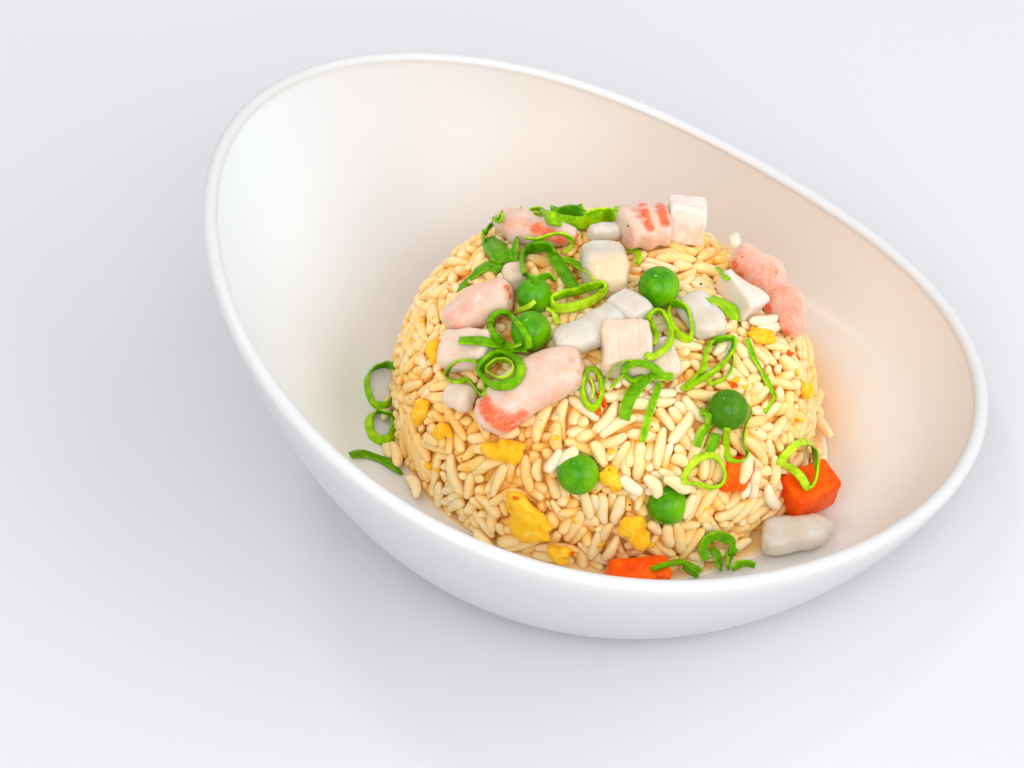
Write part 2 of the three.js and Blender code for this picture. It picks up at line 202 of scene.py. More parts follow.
# ---------------------------------------------------------------- materials
class Mat:
    def __init__(self, name, **sockets):
        self.m = bpy.data.materials.new(name)
        self.m.use_nodes = True
        self.t = self.m.node_tree
        self.b = self.t.nodes["Principled BSDF"]
        for k, v in sockets.items():
            self.b.inputs[k.replace("_", " ")].default_value = v
        self.coord = self.t.nodes.new("ShaderNodeTexCoord").outputs["Object"]

    def put(self, socket, value):
        if hasattr(value, "is_linked"):
            self.t.links.new(value, socket)
        else:
            socket.default_value = value if not isinstance(value, tuple) or len(value) != 3 else (*value, 1)

    def attr(self, name):
        n = self.t.nodes.new("ShaderNodeAttribute")
        n.attribute_name = name
        return n.outputs["Fac"]

    def noise(self, size, detail=2.0, rough=0.5, distort=0.0, stretch=None):
        """Noise with lumps of about size millimetres."""
        co = self.coord
        if stretch:
            mp = self.t.nodes.new("ShaderNodeMapping")
            mp.inputs["Scale"].default_value = stretch
            self.t.links.new(co, mp.inputs["Vector"])
            co = mp.outputs["Vector"]
        n = self.t.nodes.new("ShaderNodeTexNoise")
        self.t.links.new(co, n.inputs["Vector"])
        n.inputs["Scale"].default_value = 1000.0 / size
        n.inputs["Detail"].default_value = detail
        n.inputs["Roughness"].default_value = rough
        n.inputs["Distortion"].default_value = distort
        return n.outputs["Fac"]

    def cells(self, size, feature="F1"):
        n = self.t.nodes.new("ShaderNodeTexVoronoi")
        n.feature = feature
        self.t.links.new(self.coord, n.inputs["Vector"])
        n.inputs["Scale"].default_value = 1000.0 / size
        return n.outputs["Distance"]

    def ramp(self, fac, *stops, ease="LINEAR"):
        n = self.t.nodes.new("ShaderNodeValToRGB")
        n.color_ramp.interpolation = ease
        e = n.color_ramp.elements
        while len(e) < len(stops):
            e.new(0.5)
        for el, (at, c) in zip(e, stops):
            el.position = at
            el.color = (*c, 1) if isinstance(c, tuple) else (c, c, c, 1)
        self.t.links.new(fac, n.inputs["Fac"])
        return n.outputs["Color"]

    def mix(self, fac, a, b, how="MIX"):
        n = self.t.nodes.new("ShaderNodeMix")
        n.data_type = "RGBA"
        n.blend_type = how
        self.put(n.inputs["Factor"], fac)
        self.put(n.inputs[6], a)
        self.put(n.inputs[7], b)
        return n.outputs[2]

    def sum(self, op, a, b, clamp=False):
        n = self.t.nodes.new("ShaderNodeMath")
        n.operation = op
        n.use_clamp = clamp
        self.put(n.inputs[0], a)
        self.put(n.inputs[1], b)
        return n.outputs[0]

    def band(self, value, lo, hi, to_lo=0.0, to_hi=1.0):
        n = self.t.nodes.new("ShaderNodeMapRange")
        self.put(n.inputs["Value"], value)
        for k, x in zip(("From Min", "From Max", "To Min", "To Max"), (lo, hi, to_lo, to_hi)):
            n.inputs[k].default_value = x
        return n.outputs["Result"]

    def colour(self, value):
        self.put(self.b.inputs["Base Color"], value)

    def rough(self, value):
        self.put(self.b.inputs["Roughness"], value)

    def bump(self, height, depth, strength=1.0):
        n = self.t.nodes.new("ShaderNodeBump")
        n.inputs["Strength"].default_value = strength
        n.inputs["Distance"].default_value = depth * MM
        self.t.links.new(height, n.inputs["Height"])
        self.t.links.new(n.outputs["Normal"], self.b.inputs["Normal"])


def rgb(r, g, b):
    """Linear colour from eight-bit display values."""
    return tuple((x / 255 / 12.92) if x / 255 < 0.04045 else ((x / 255 + 0.055) / 1.055) ** 2.4 for x in (r, g, b))


def porcelain():
    k = Mat("porcelain_glaze", IOR=1.5)
    k.b.inputs["Specular IOR Level"].default_value = 0.4
    c = k.ramp(k.noise(26, 3, 0.6), (0.3, rgb(222, 221, 218)), (0.7, rgb(226, 225, 223)))
    # painted cool light: a bluish cast painted on the inner wall at the left, away from the food
    c = k.mix(k.attr("cool"), c, (0.80, 0.865, 0.915))
    # painted shade: the outer wall and the lip are painted greyer than the inside
    c = k.mix(k.attr("foot"), c, (0.63, 0.635, 0.64))
    # painted reflection: a warm orange glow from the rice, painted on the inner wall beside the food
    c = k.mix(k.attr("warm"), c, (0.76, 0.43, 0.17))
    k.colour(c)
    k.rough(k.band(k.noise(12, 2), 0.3, 0.7, 0.285, 0.34))
    return k.m


def rice():
    k = Mat("rice_grain", IOR=1.38)
    k.b.inputs["Specular IOR Level"].default_value = 0.22
    k.b.inputs["Subsurface Weight"].default_value = 0.45
    k.b.inputs["Subsurface Radius"].default_value = (1.0, 0.9, 0.75)
    k.b.inputs["Subsurface Scale"].default_value = 0.0011
    tone = k.sum("ADD", k.attr("tone"), k.band(k.noise(2.6, 3, 0.6), 0.3, 0.7, -0.14, 0.14), True)
    c = k.ramp(tone, (0.0, (0.86, 0.77, 0.57)), (0.3, (0.90, 0.72, 0.43)), (0.65, (0.99, 0.68, 0.30)), (1.0, (1.0, 0.56, 0.14)))
    c = k.mix(k.band(k.noise(0.55, 2, 0.6), 0.42, 0.66, 0.0, 0.18), c, (0.97, 0.93, 0.80))
    # the buried parts of the grains, in the gaps, turn orange: partly the sauce that gathers there, partly painted
    # shade of the gaps
    c = k.mix(k.band(k.sum("ADD", k.attr("deep"), k.band(k.noise(1.6, 2), 0.3, 0.7, -0.15, 0.15)), 0.0, 1.0, 0.0, 0.94), c, (1.0, 0.58, 0.11))
    k.colour(c)
    k.rough(k.band(k.noise(0.9, 2), 0.3, 0.7, 0.32, 0.48))
    k.bump(k.noise(0.42, 3, 0.6), 0.08, 0.5)
    return k.m


def rice_core():
    k = Mat("rice_core", IOR=1.38)
    k.b.inputs["Specular IOR Level"].default_value = 0.2
    c = k.ramp(k.noise(3.2, 4, 0.6), (0.3, (1.0, 0.52, 0.09)), (0.55, (1.0, 0.62, 0.16)), (0.75, (1.0, 0.72, 0.30)))
    k.colour(c)
    k.rough(k.band(k.noise(1.2, 2), 0.3, 0.7, 0.35, 0.5))
    k.bump(k.noise(0.8, 3), 0.2, 0.5)
    return k.m


def pea():
    k = Mat("pea_skin", IOR=1.42, Coat_Weight=0.32, Coat_Roughness=0.04)
    k.b.inputs["Specular IOR Level"].default_value = 0.08
    k.b.inputs["Subsurface Weight"].default_value = 0.15
    k.b.inputs["Subsurface Radius"].default_value = (0.5, 1.0, 0.2)
    k.b.inputs["Subsurface Scale"].default_value = 0.001
    c = k.ramp(k.noise(3.0, 3, 0.55), (0.3, (0.030, 0.215, 0.0)), (0.55, (0.075, 0.315, 0.0)), (0.8, (0.15, 0.42, 0.0)))
    # painted light: each pea is painted paler and yellower on its side towards the front right
    c = k.mix(k.attr("pale"), c, (0.24, 0.56, 0.0))
    # painted shade: pea_4 is painted darker green
    c = k.mix(k.attr("shade"), c, (0.05, 0.13, 0.0))
    c = k.mix(k.band(k.noise(0.35, 2), 0.55, 0.75, 0, 0.2), c, (0.15, 0.45, 0.0))
    k.colour(c)
    k.rough(k.band(k.noise(1.3, 2), 0.3, 0.7, 0.09, 0.18))
    k.bump(k.noise(0.9, 3), 0.04, 0.35)
    return k.m


def carrot():
    k = Mat("carrot_flesh", IOR=1.4, Coat_Weight=0.1, Coat_Roughness=0.12)
    k.b.inputs["Specular IOR Level"].default_value = 0.12
    k.b.inputs["Subsurface Weight"].default_value = 0.1
    k.b.inputs["Subsurface Radius"].default_value = (1.0, 0.35, 0.1)
    k.b.inputs["Subsurface Scale"].default_value = 0.0012
    c = k.ramp(k.noise(3.4, 3, 0.6), (0.3, (0.86, 0.05, 0.0)), (0.55, (0.94, 0.11, 0.0)), (0.8, (0.96, 0.20, 0.004)))
    c = k.mix(k.band(k.noise(0.3, 2, 0.5, 0.0, (1, 1, 0.3)), 0.5, 0.75, 0, 0.35), c, (0.95, 0.3, 0.03))
    k.colour(c)
    k.rough(k.band(k.noise(0.8, 2), 0.3, 0.7, 0.3, 0.5))
    k.bump(k.noise(0.4, 3), 0.12, 0.5)
    return k.m


def shrimp():
    k = Mat("shrimp_flesh", IOR=1.4, Coat_Weight=0.3, Coat_Roughness=0.10)
    k.b.inputs["Specular IOR Level"].default_value = 0.28
    k.b.inputs["Subsurface Weight"].default_value = 0.6
    k.b.inputs["Subsurface Radius"].default_value = (1.0, 0.5, 0.35)
    k.b.inputs["Subsurface Scale"].default_value = 0.0026
    c = k.ramp(k.noise(3.6, 3, 0.6), (0.28, (0.785, 0.45, 0.305)), (0.5, (0.77, 0.525, 0.405)), (0.75, (0.755, 0.60, 0.505)))
    blush = k.sum("ADD", k.attr("blush"), k.band(k.noise(1.0, 4, 0.7), 0.35, 0.65, -0.10, 0.10), True)
    c = k.mix(k.band(blush, 0.10, 0.75), c, k.ramp(k.noise(0.6, 3), (0.35, (0.72, 0.11, 0.04)), (0.65, (0.88, 0.23, 0.09))))
    c = k.mix(k.band(k.noise(0.5, 2), 0.70, 0.76, 0, 0.45), c, (0.45, 0.16, 0.12))
    k.colour(c)
    k.rough(k.band(k.noise(1.3, 2), 0.3, 0.7, 0.28, 0.45))
    k.bump(k.noise(0.7, 3, 0.6), 0.10, 0.5)
    return k.m


def squid():
    k = Mat("squid_flesh", IOR=1.4, Coat_Weight=0.3, Coat_Roughness=0.10)
    k.b.inputs["Specular IOR Level"].default_value = 0.32
    k.b.inputs["Subsurface Weight"].default_value = 0.6
    k.b.inputs["Subsurface Radius"].default_value = (1.0, 0.9, 0.8)
    k.b.inputs["Subsurface Scale"].default_value = 0.0026
    c = k.ramp(k.noise(4.0, 3, 0.55), (0.3, (0.615, 0.52, 0.40)), (0.7, (0.68, 0.645, 0.585)))
    # painted warm shade: a peach flush on the squid's undersides and under other pieces
    c = k.mix(k.attr("blush"), c, (0.90, 0.62, 0.38))
    k.colour(c)
    k.rough(k.band(k.noise(1.6, 2), 0.3, 0.7, 0.285, 0.40))
    k.bump(k.noise(0.9, 3), 0.07, 0.4)
    return k.m


def surimi():
    k = Mat("surimi_flesh", IOR=1.4)
    k.b.inputs["Specular IOR Level"].default_value = 0.22
    k.b.inputs["Subsurface Weight"].default_value = 0.6
    k.b.inputs["Subsurface Radius"].default_value = (1.0, 0.7, 0.5)
    k.b.inputs["Subsurface Scale"].default_value = 0.0026
    c = k.ramp(k.noise(3.5, 3, 0.55), (0.3, (0.71, 0.53, 0.38)), (0.7, (0.76, 0.63, 0.51)))
    c = k.mix(k.attr("white"), c, (0.81, 0.74, 0.68))
    c = k.mix(k.attr("fibre"), c, (0.90, 0.56, 0.44))
    # a peach flush along one line of surimi_2, and painted warm shade on the undersides of surimi_1 and surimi_4 to
    # surimi_7
    c = k.mix(k.attr("blush"), c, (0.93, 0.60, 0.40))
    k.colour(c)
    k.rough(k.band(k.noise(1.3, 2), 0.3, 0.7, 0.35, 0.5))
    k.bump(k.noise(0.5, 3), 0.07, 0.4)
    return k.m


def egg():
    k = Mat("egg_curd", IOR=1.4)
    k.b.inputs["Specular IOR Level"].default_value = 0.2
    k.b.inputs["Subsurface Weight"].default_value = 0.2
    k.b.inputs["Subsurface Radius"].default_value = (1.0, 0.6, 0.15)
    k.b.inputs["Subsurface Scale"].default_value = 0.0012
    c = k.ramp(k.noise(1.8, 4, 0.6), (0.28, (0.96, 0.39, 0.006)), (0.5, (0.98, 0.53, 0.015)), (0.75, (0.98, 0.67, 0.09)))
    k.colour(c)
    k.rough(k.band(k.noise(0.9, 2), 0.3, 0.7, 0.38, 0.55))
    k.bump(k.noise(0.45, 4, 0.6), 0.16, 0.6)
    return k.m


def onion():
    k = Mat("spring_onion_leaf", IOR=1.42, Coat_Weight=0.08, Coat_Roughness=0.08)
    k.b.inputs["Specular IOR Level"].default_value = 0.07
    k.b.inputs["Subsurface Weight"].default_value = 0.1
    k.b.inputs["Subsurface Radius"].default_value = (0.5, 1.0, 0.15)
    k.b.inputs["Subsurface Scale"].default_value = 0.0007
    tone = k.sum("ADD", k.attr("tone"), k.band(k.noise(1.6, 3, 0.6), 0.3, 0.7, -0.18, 0.18), True)
    c = k.ramp(tone, (0.0, (0.05, 0.22, 0.001)), (0.4, (0.15, 0.42, 0.001)), (0.7, (0.38, 0.64, 0.003)), (1.0, (0.68, 0.84, 0.06)))
    c = k.mix(k.attr("vein"), c, (0.55, 0.76, 0.06))
    k.colour(c)
    k.rough(k.band(k.noise(0.8, 2), 0.3, 0.7, 0.28, 0.45))
    k.bump(k.noise(0.35, 3), 0.05, 0.4)
    return k.m


def fleck():
    k = Mat("seasoning_fleck", IOR=1.4)
    k.colour(k.ramp(k.noise(0.6, 2), (0.35, (0.10, 0.035, 0.01)), (0.7, (0.33, 0.12, 0.03))))
    k.rough(k.band(k.noise(0.5, 2), 0.3, 0.7, 0.4, 0.7))
    return k.m


def sauce():
    k = Mat("cooking_juice", IOR=1.36, Coat_Weight=0.4, Coat_Roughness=0.05)
    c = k.ramp(k.noise(5, 4, 0.6), (0.3, (0.90, 0.55, 0.18)), (0.7, (0.92, 0.70, 0.38)))
    c = k.mix(k.attr("thin"), c, rgb(243, 236, 222))
    k.colour(c)
    k.rough(k.band(k.noise(2.2, 2), 0.3, 0.7, 0.10, 0.2))
    k.bump(k.noise(2.0, 2), 0.05, 0.3)
    return k.m


def table_top():
    k = Mat("pale_table", IOR=1.45)
    k.colour(k.ramp(k.noise(220, 2), (0.3, rgb(213, 213, 216)), (0.7, rgb(215, 215, 218))))
    k.rough(k.band(k.noise(60, 2), 0.3, 0.7, 0.5, 0.6))
    k.b.inputs["Specular IOR Level"].default_value = 0.25
    return k.m


# ---------------------------------------------------------------- bowl
RIM_CENTRE_X, RIM_RADIUS, RIM_EGG = 3.7, 79.8, (-6.68, 0.75, 2.98)
RIM_HEIGHT, RIM_SLANT = 40.4, (-24.1, 3.06, -0.27)
BASE_RADIUS, BASE_SHIFT, BELLY, WALL, FLOOR, FILLET = 55.3, 2.28, 1.287, 3.0, 4.5, 4.5


def series(mean, c, a):
    return mean + sum(k * np.cos((i + 1) * a) for i, k in enumerate(c))


def outer_point(a, s):
    R = series(RIM_RADIUS, RIM_EGG, a) - WALL * 0.5
    H = series(RIM_HEIGHT, RIM_SLANT, a) - WALL * 0.4
    w = (1 - (1 - s) ** BELLY) ** (1 / BELLY)
    return BASE_RADIUS + (R + WALL * 0.5 - BASE_RADIUS) * w, H * s, RIM_CENTRE_X + BASE_SHIFT * (1 - s)


def bowl_body(around=256, up=46, lip=14):
    a = np.arange(around) / around * TAU
    out, inn = [], []
    for i in range(up + 1):
        s = (i / up) ** 1.7
        r, z, cx = outer_point(a, s)
        d = 1e-3
        lr, lz, _ = outer_point(a, max(s - d, 0))
        hr, hz, _ = outer_point(a, min(s + d, 1))
        tr, tz = hr - lr, hz - lz
        k = smoothstep(0.9, 1.0, i / up)  # the lip stands upright
        l = np.hypot(tr, tz)
        tr, tz = tr / l * (1 - k), tz / l * (1 - k) + k
        l = np.hypot(tr, tz)
        nr, nz = -tz / l, tr / l
        out.append((r, z, cx))
        inn.append((r + nr * WALL, z + nz * WALL, cx))
    tr_, tz_, tcx = out[-1]
    arc = []
    for k in range(1, lip):
        w = k / lip * math.pi
        arc.append((tr_ - WALL * 0.5 * (1 - math.cos(w)), tz_ + WALL * 0.5 * math.sin(w), tcx))
    # where the wall leaves the base its inner face would fold back, so its radius only grows upwards
    ir = np.maximum.accumulate(np.array([r for r, _, _ in inn]), axis=0) + np.arange(up + 1)[:, None] * 2e-3
    iz = np.array([z for _, z, _ in inn])
    below = [((ir[0] * f), iz[0] - 3.0 * (ir[0] * (1 - f) / 12) ** 2, out[0][2]) for f in np.linspace(0.985, 0.62, 22)]
    inner = below[::-1] + [(ir[i], iz[i], inn[i][2]) for i in range(up + 1)]

    def eased(z):
        h = np.maximum(FILLET - np.abs(FLOOR - z), 0) / FILLET
        return np.maximum(FLOOR, z) + h * h * FILLET / 4

    R_ = np.array([r for r, _, _ in inner])
    Z_ = np.array([eased(z) for _, z, _ in inner])
    C_ = np.array([np.broadcast_to(cx, a.shape) for _, _, cx in inner])
    steps = 64
    even = np.zeros((3, steps, around))
    for k in range(around):
        path = np.concatenate([[0], np.cumsum(np.hypot(np.diff(R_[:, k]), np.diff(Z_[:, k])))])
        at = np.linspace(0, 1, steps) ** 0.9 * path[-1]
        for x, src in enumerate((R_, Z_, C_)):
            even[x, :, k] = np.interp(at, path, src[:, k])
    for _ in range(14):
        even[:, 1:-1] = even[:, 1:-1] * 0.5 + 0.25 * (even[:, :-2] + even[:, 2:])
    inner = [(even[0, i], even[1, i], even[2, i]) for i in range(steps)]
    floor = [(BASE_RADIUS * f, np.full(around, FLOOR), out[0][2]) for f in (0.4, 0.2)]
    rings = out + arc + inner[::-1] + floor
    loops = [np.stack([cx + r * np.cos(a), r * np.sin(a) * 0.9985, np.broadcast_to(z, a.shape)], 1) for r, z, cx in rings]
    bx = RIM_CENTRE_X + BASE_SHIFT
    b = Body()
    v, f = loft(loops, (bx, 0, 0), (bx, 0, FLOOR))
    # painted reflection: the glaze beside the food is painted with a warm orange glow that stands for the light the
    # rice bounces onto it, most of all towards the low end
    d = v - np.array([0.6, 1.8, 0.0])
    az = np.arctan2(d[:, 1], d[:, 0])
    off = np.maximum(np.hypot(d[:, 0], d[:, 1]) - 44, 0)
    inside = np.zeros(len(v))
    inside[(len(out) + len(arc)) * around:] = 1.0
    side = 0.5 + 0.5 * np.cos(az - 0.45)
    # painted shade: the outer wall is painted a little greyer than the lip, and so is the far side of the inner wall;
    # the lip itself is painted greyer than the rest of the inside
    foot = inside * 0.85 * smoothstep(0.3, 0.95, np.sin(az))
    foot[(up + 1) * around:(up + lip) * around] = 0.7
    foot[:(up + 1) * around] = np.repeat(0.7 + 0.3 * smoothstep(0.98, 0.86, (np.arange(up + 1) / up) ** 1.7), around)
    # painted light and shade on the glaze: a bluish cast at the left of the inner wall, grey shade over the outer wall
    # and lip, a warm glow beside the rice
    b.add(v, f, foot=foot, cool=1.0 * inside * smoothstep(0.85, 0.35, side) * (1 - np.exp(-((off / 9) ** 2))), warm=np.clip(inside * (0.22 * side**1.5 + 1.15 * (0.5 + 0.5 * np.cos(az - 0.85)) ** 3 * np.exp(-((off / 9.5) ** 2))) + inside * 0.10 * np.exp(-off / 6), 0, 1))
    return b


# ---------------------------------------------------------------- dome of rice
DX, DY, DR, DSKEW, DH, DN = 0.6, 1.8, 45.0, -1.2, 40.0, 2.8
LUMP = 0.85
DOME = np.array([DX, DY, FLOOR])


def lump(a, w):
    return LUMP * (0.5 * np.sin(5 * a + 3 * w + 0.6) + 0.32 * np.sin(9 * a - 5 * w + 2.1) + 0.3 * np.sin(14 * a + 9 * w) * np.cos(6 * w))


def dome_radius(a):
    return DR + DSKEW * np.sin(2 * a)


def dome_depth(p):
    """How deep each point lies under the heap's uneven outline, and the way out."""
    d = p - DOME
    a = np.arctan2(d[..., 1], d[..., 0])
    rho = np.hypot(d[..., 0], d[..., 1])
    ra = dome_radius(a)
    x, z = rho / ra, np.maximum(d[..., 2], 0) / DH
    s = np.maximum((x**DN + z**DN) ** (1 / DN), 1e-6)
    gr, gz = (x / s) ** (DN - 1) / ra, (z / s) ** (DN - 1) / DH
    g = np.hypot(gr, gz)
    w = np.arcsin(np.clip((z / s) ** (DN / 2), 0, 1))
    n = np.stack([gr * np.cos(a), gr * np.sin(a), gz], -1) / g[..., None]
    return -((s - 1) / g - lump(a, w)), n


def dome_grid(around, up, inset=0.0):
    rings = []
    for j in range(up):
        w = (j / up) ** 1.25 * math.pi / 2
        a = np.arange(around) / around * TAU
        k = 1 + (lump(a, w)) / DR
        r = (dome_radius(a) - inset) * np.cos(w) ** (2 / DN) * k
        z = (DH - inset) * np.sin(w) ** (2 / DN) * k
        rings.append(np.stack([DX + r * np.cos(a), DY + r * np.sin(a), FLOOR + z], 1))
    return rings


def dome_frame(az, el, lift):
    a, e = math.radians(az), math.radians(el)
    ra = dome_radius(a)
    k = ((math.cos(e) / (ra + lift)) ** DN + (math.sin(e) / (DH + lift)) ** DN) ** (-1 / DN)
    p = k * np.array([math.cos(e) * math.cos(a), math.cos(e) * math.sin(a), math.sin(e)])
    gr = (math.hypot(p[0], p[1]) / ra) ** (DN - 1) / ra
    gz = (p[2] / DH) ** (DN - 1) / DH
    n = unit(np.array([gr * math.cos(a), gr * math.sin(a), gz]))
    t1 = np.array([-math.sin(a), math.cos(a), 0.0])
    return p + DOME, t1, np.cross(n, t1), n


def seat(s):
    """Rotation and place of a piece, as part.mjs seats it."""
    if "at" in s:
        p, t1, t2, n = np.array(s["at"], float), *np.eye(3)
    else:
        p, t1, t2, n = dome_frame(s["az"], s["el"], s["lift"])
    R = Matrix((t1, t2, n)).transposed()
    R = R @ Matrix.Rotation(math.radians(s.get("spin", 0)), 3, "Z")
    R = R @ Matrix.Rotation(math.radians(s.get("pitch", 0)), 3, "Y")
    R = R @ Matrix.Rotation(math.radians(s.get("tilt", 0)), 3, "X")
    return np.array(R), p


# ---------------------------------------------------------------- pieces in the rice
PEAS = [
    ("pea_1", 4.35, -28.4, 75.4, 2.2), ("pea_2", 3.7, -162.1, 68.0, 1.5), ("pea_3", 4.15, -139.1, 60.5, 1.5),
    ("pea_4", 4.25, -56.6, 40.2, 2.2), ("pea_5", 4.2, -102.6, 30.2, 0.5), ("pea_6", 4.1, -77.9, 21.0, -1.0),
]
CARROTS = [
    dict(name="carrot_1", size=(10.6, 8.2, 8.2), at=(40.4, -26.8, 10.6), spin=24, tilt=14, pitch=-8, taper=0.12, lean=0.1),
    dict(name="carrot_2", size=(7.2, 7.2, 6.6), az=-57.6, el=24.0, lift=-2.2, spin=-24, taper=0.1),
    dict(name="carrot_3", size=(12, 7, 6), at=(3.6, -47.6, 8.6), spin=8, tilt=12, taper=0.25, lean=0.1),
]
SHRIMPS = [
    dict(name="shrimp_1", length=20, turn=-55, width=7.2, thick=6.4, head=0.9, tail=0.55, ribs=3, az=128.1, el=61.1, lift=1.6, spin=103),
    dict(name="shrimp_2", length=14.5, turn=45, width=9, thick=7, head=0.8, tail=0.85, ribs=2, az=-168.7, el=54.1, lift=1.4, spin=93.5),
    dict(name="shrimp_3", length=10.6, turn=10, width=11.8, thick=8, head=0.95, tail=0.9, ribs=2, az=58.2, el=69.0, lift=3.2, spin=-138.4),
    dict(name="shrimp_4", length=23.5, turn=80, width=9, thick=7.6, head=0.85, tail=0.6, ribs=3, az=1.3, el=46.3, lift=1.8, spin=-147.3),
    dict(name="shrimp_5", length=23.5, turn=-50, width=10.6, thick=8, head=0.92, tail=0.8, ribs=3, az=-122.6, el=46.6, lift=1.8, spin=-125.5),
]
SQUIDS = [
    dict(name="squid_1", length=16.5, turn=-55, width=6, thick=5, head=0.85, tail=0.85, az=-107.8, el=67.7, lift=2.0, spin=47.4),
    dict(name="squid_2", length=8.2, turn=0, width=7, thick=6, head=0.9, tail=0.9, az=-75.8, el=73.5, lift=2.0, spin=-63.9),
    dict(name="squid_3", length=12.5, turn=12, width=9.2, thick=7, head=0.95, tail=0.8, az=121.9, el=88.0, lift=1.8, spin=61.1),
    dict(name="squid_4", length=7.6, turn=25, width=3.8, thick=3.8, head=0.9, tail=0.85, az=88.1, el=73.1, lift=2.4, spin=-176.9),
    dict(name="squid_5", length=11, turn=20, width=8, thick=5, head=0.85, tail=0.85, az=-32.7, el=62.2, lift=0.8, spin=-120.4),
    dict(name="squid_6", length=14.8, turn=-25, width=7.6, thick=5.4, head=0.85, tail=0.8, at=(37.0, -35.6, 7.7), spin=14),
]
SURIMIS = [
    dict(name="surimi_1", size=(8.2, 7.4, 8.8), az=44.8, el=59.2, lift=3.4, spin=-135, taper=0.12, lean=-0.1),
    dict(name="surimi_2", size=(10.4, 9.2, 7), az=-85.9, el=61.2, lift=1.8, spin=-96, taper=-0.06),
    dict(name="surimi_3", size=(8.6, 5.6, 5), az=-69.4, el=57.1, lift=0.6, spin=-102, taper=0.1),
    dict(name="surimi_4", size=(10.4, 6.4, 6), az=-7.5, el=54.9, lift=1.2, spin=47.7, taper=0.75),
    dict(name="surimi_5", size=(11.4, 8.2, 6), az=-154.6, el=46.6, lift=1.0, spin=45.3, taper=0.15),
    dict(name="surimi_6", size=(7, 6, 5), az=-145.5, el=36.9, lift=0.8, spin=17.5, taper=0.1, edge=1.5),
    dict(name="surimi_7", size=(5.4, 4.6, 4.4), az=175.2, el=64.7, lift=1.2, spin=8, taper=0.1),
]
EGGS = [
    dict(name="egg_1", size=(8.2, 5.6, 3.2), az=-124.9, el=30.8, lift=0.2, spin=16),
    dict(name="egg_2", size=(13, 7.8, 3.8), az=-115.2, el=14.7, lift=0.4, spin=-37),
    dict(name="egg_3", size=(4.8, 3.6, 2.8), az=-166.6, el=38.5, lift=0.3, spin=-53),
    dict(name="egg_4", size=(6.6, 3.8, 2.8), az=-157.9, el=25.1, lift=0.2, spin=-86),
    dict(name="egg_5", size=(4.8, 3.2, 2.6), az=-147.0, el=26.2, lift=0.2, spin=22),
    dict(name="egg_6", size=(8, 5.8, 3.2), az=-86.9, el=15.2, lift=0.2, spin=-45),
    dict(name="egg_7", size=(6, 3.4, 2.8), az=-106.0, el=6.0, lift=0.3, spin=-13),
    dict(name="egg_8", size=(6, 3.6, 2.8), az=-93.4, el=29.5, lift=0.1, spin=-78),
    dict(name="egg_9", size=(7, 3.6, 2.8), az=-21.1, el=46.0, lift=0.2, spin=-51),
    dict(name="egg_10", size=(3.8, 3, 2.6), az=-21.4, el=27.4, lift=0.2, spin=-125),
]


def ball(r, seed):
    around, up = 44, 28
    w = (np.arange(1, up) / up * math.pi)[:, None]
    a = (np.arange(around) / around * TAU)[None, :]
    d = np.stack([np.sin(w) * np.cos(a), np.sin(w) * np.sin(a), np.cos(w) + 0 * a], -1)
    ends = np.array([[0, 0, 1.0], [0, 0, -1.0]])

    def push(d):
        # a soft cooked pea: broad dents and a few creases in the skin
        k = 1 + 0.030 * noise(d, 0.8, seed) + 0.014 * noise(d, 0.35, seed + 3)
        k = k - 0.022 * smoothstep(0.12, 0.0, np.abs(noise(d, 0.9, seed + 9))) * smoothstep(-0.1, 0.5, noise(d, 1.2, seed + 5))
        return d * (k * r)[..., None]

    return loft(push(d), push(ends)[0], push(ends)[1])


_cube = {}


def cube_grid(n):
    """Points over a cube from -1 to 1, closer together near its edges, and its faces."""
    if n not in _cube:
        s = np.linspace(-1, 1, n + 1)
        s = np.sign(s) * (1 - (1 - np.abs(s)) ** 1.6)
        pts, quads, m = [], [], 0
        u, v = np.meshgrid(s, s, indexing="ij")
        for ax in range(3):
            for side in (-1, 1):
                p = np.empty((n + 1, n + 1, 3))
                p[..., ax] = side
                p[..., (ax + 1) % 3], p[..., (ax + 2) % 3] = u, v
                idx = np.arange((n + 1) ** 2).reshape(n + 1, n + 1) + m
                q = np.stack([idx[:-1, :-1], idx[1:, :-1], idx[1:, 1:], idx[:-1, 1:]], -1).reshape(-1, 4)
                quads.append(q if side > 0 else q[:, ::-1])
                pts.append(p.reshape(-1, 3))
                m += (n + 1) ** 2
        pts, quads = np.concatenate(pts), np.concatenate(quads)
        key = np.round(pts, 6)
        _, first, back = np.unique(key, axis=0, return_index=True, return_inverse=True)
        _cube[n] = (pts[first], back.reshape(-1)[quads])
    return _cube[n]


def block(s, seed, n=18, rough=0.16):
    X, Y, Z = (x / 2 for x in s["size"])
    c = min(s.get("edge", 0.8) * s.get("soft", 1.3), min(s["size"]) * 0.46)
    p, q = cube_grid(n)
    half = np.array([X, Y, Z])
    full = p * half
    inner = np.clip(full, -(half - c), half - c)
    d = full - inner
    v = inner + unit(d) * c
    flat = v.copy()
    # knife-cut faces are nearly flat, with a bow and small tears
    nrm = unit(d)
    v = v + nrm * (rough * noise(v, 3.4, seed) + 0.35 * rough * noise(v, 1.1, seed + 2) + s.get("lumpy", 0.0) * noise(v, 5.5, seed + 9))[:, None]
    v[:, 1] *= 1 - s.get("taper", 0) * (v[:, 0] / s["size"][0] + 0.5)
    v[:, 0] += s.get("lean", 0) * v[:, 2]
    return v, [q], flat


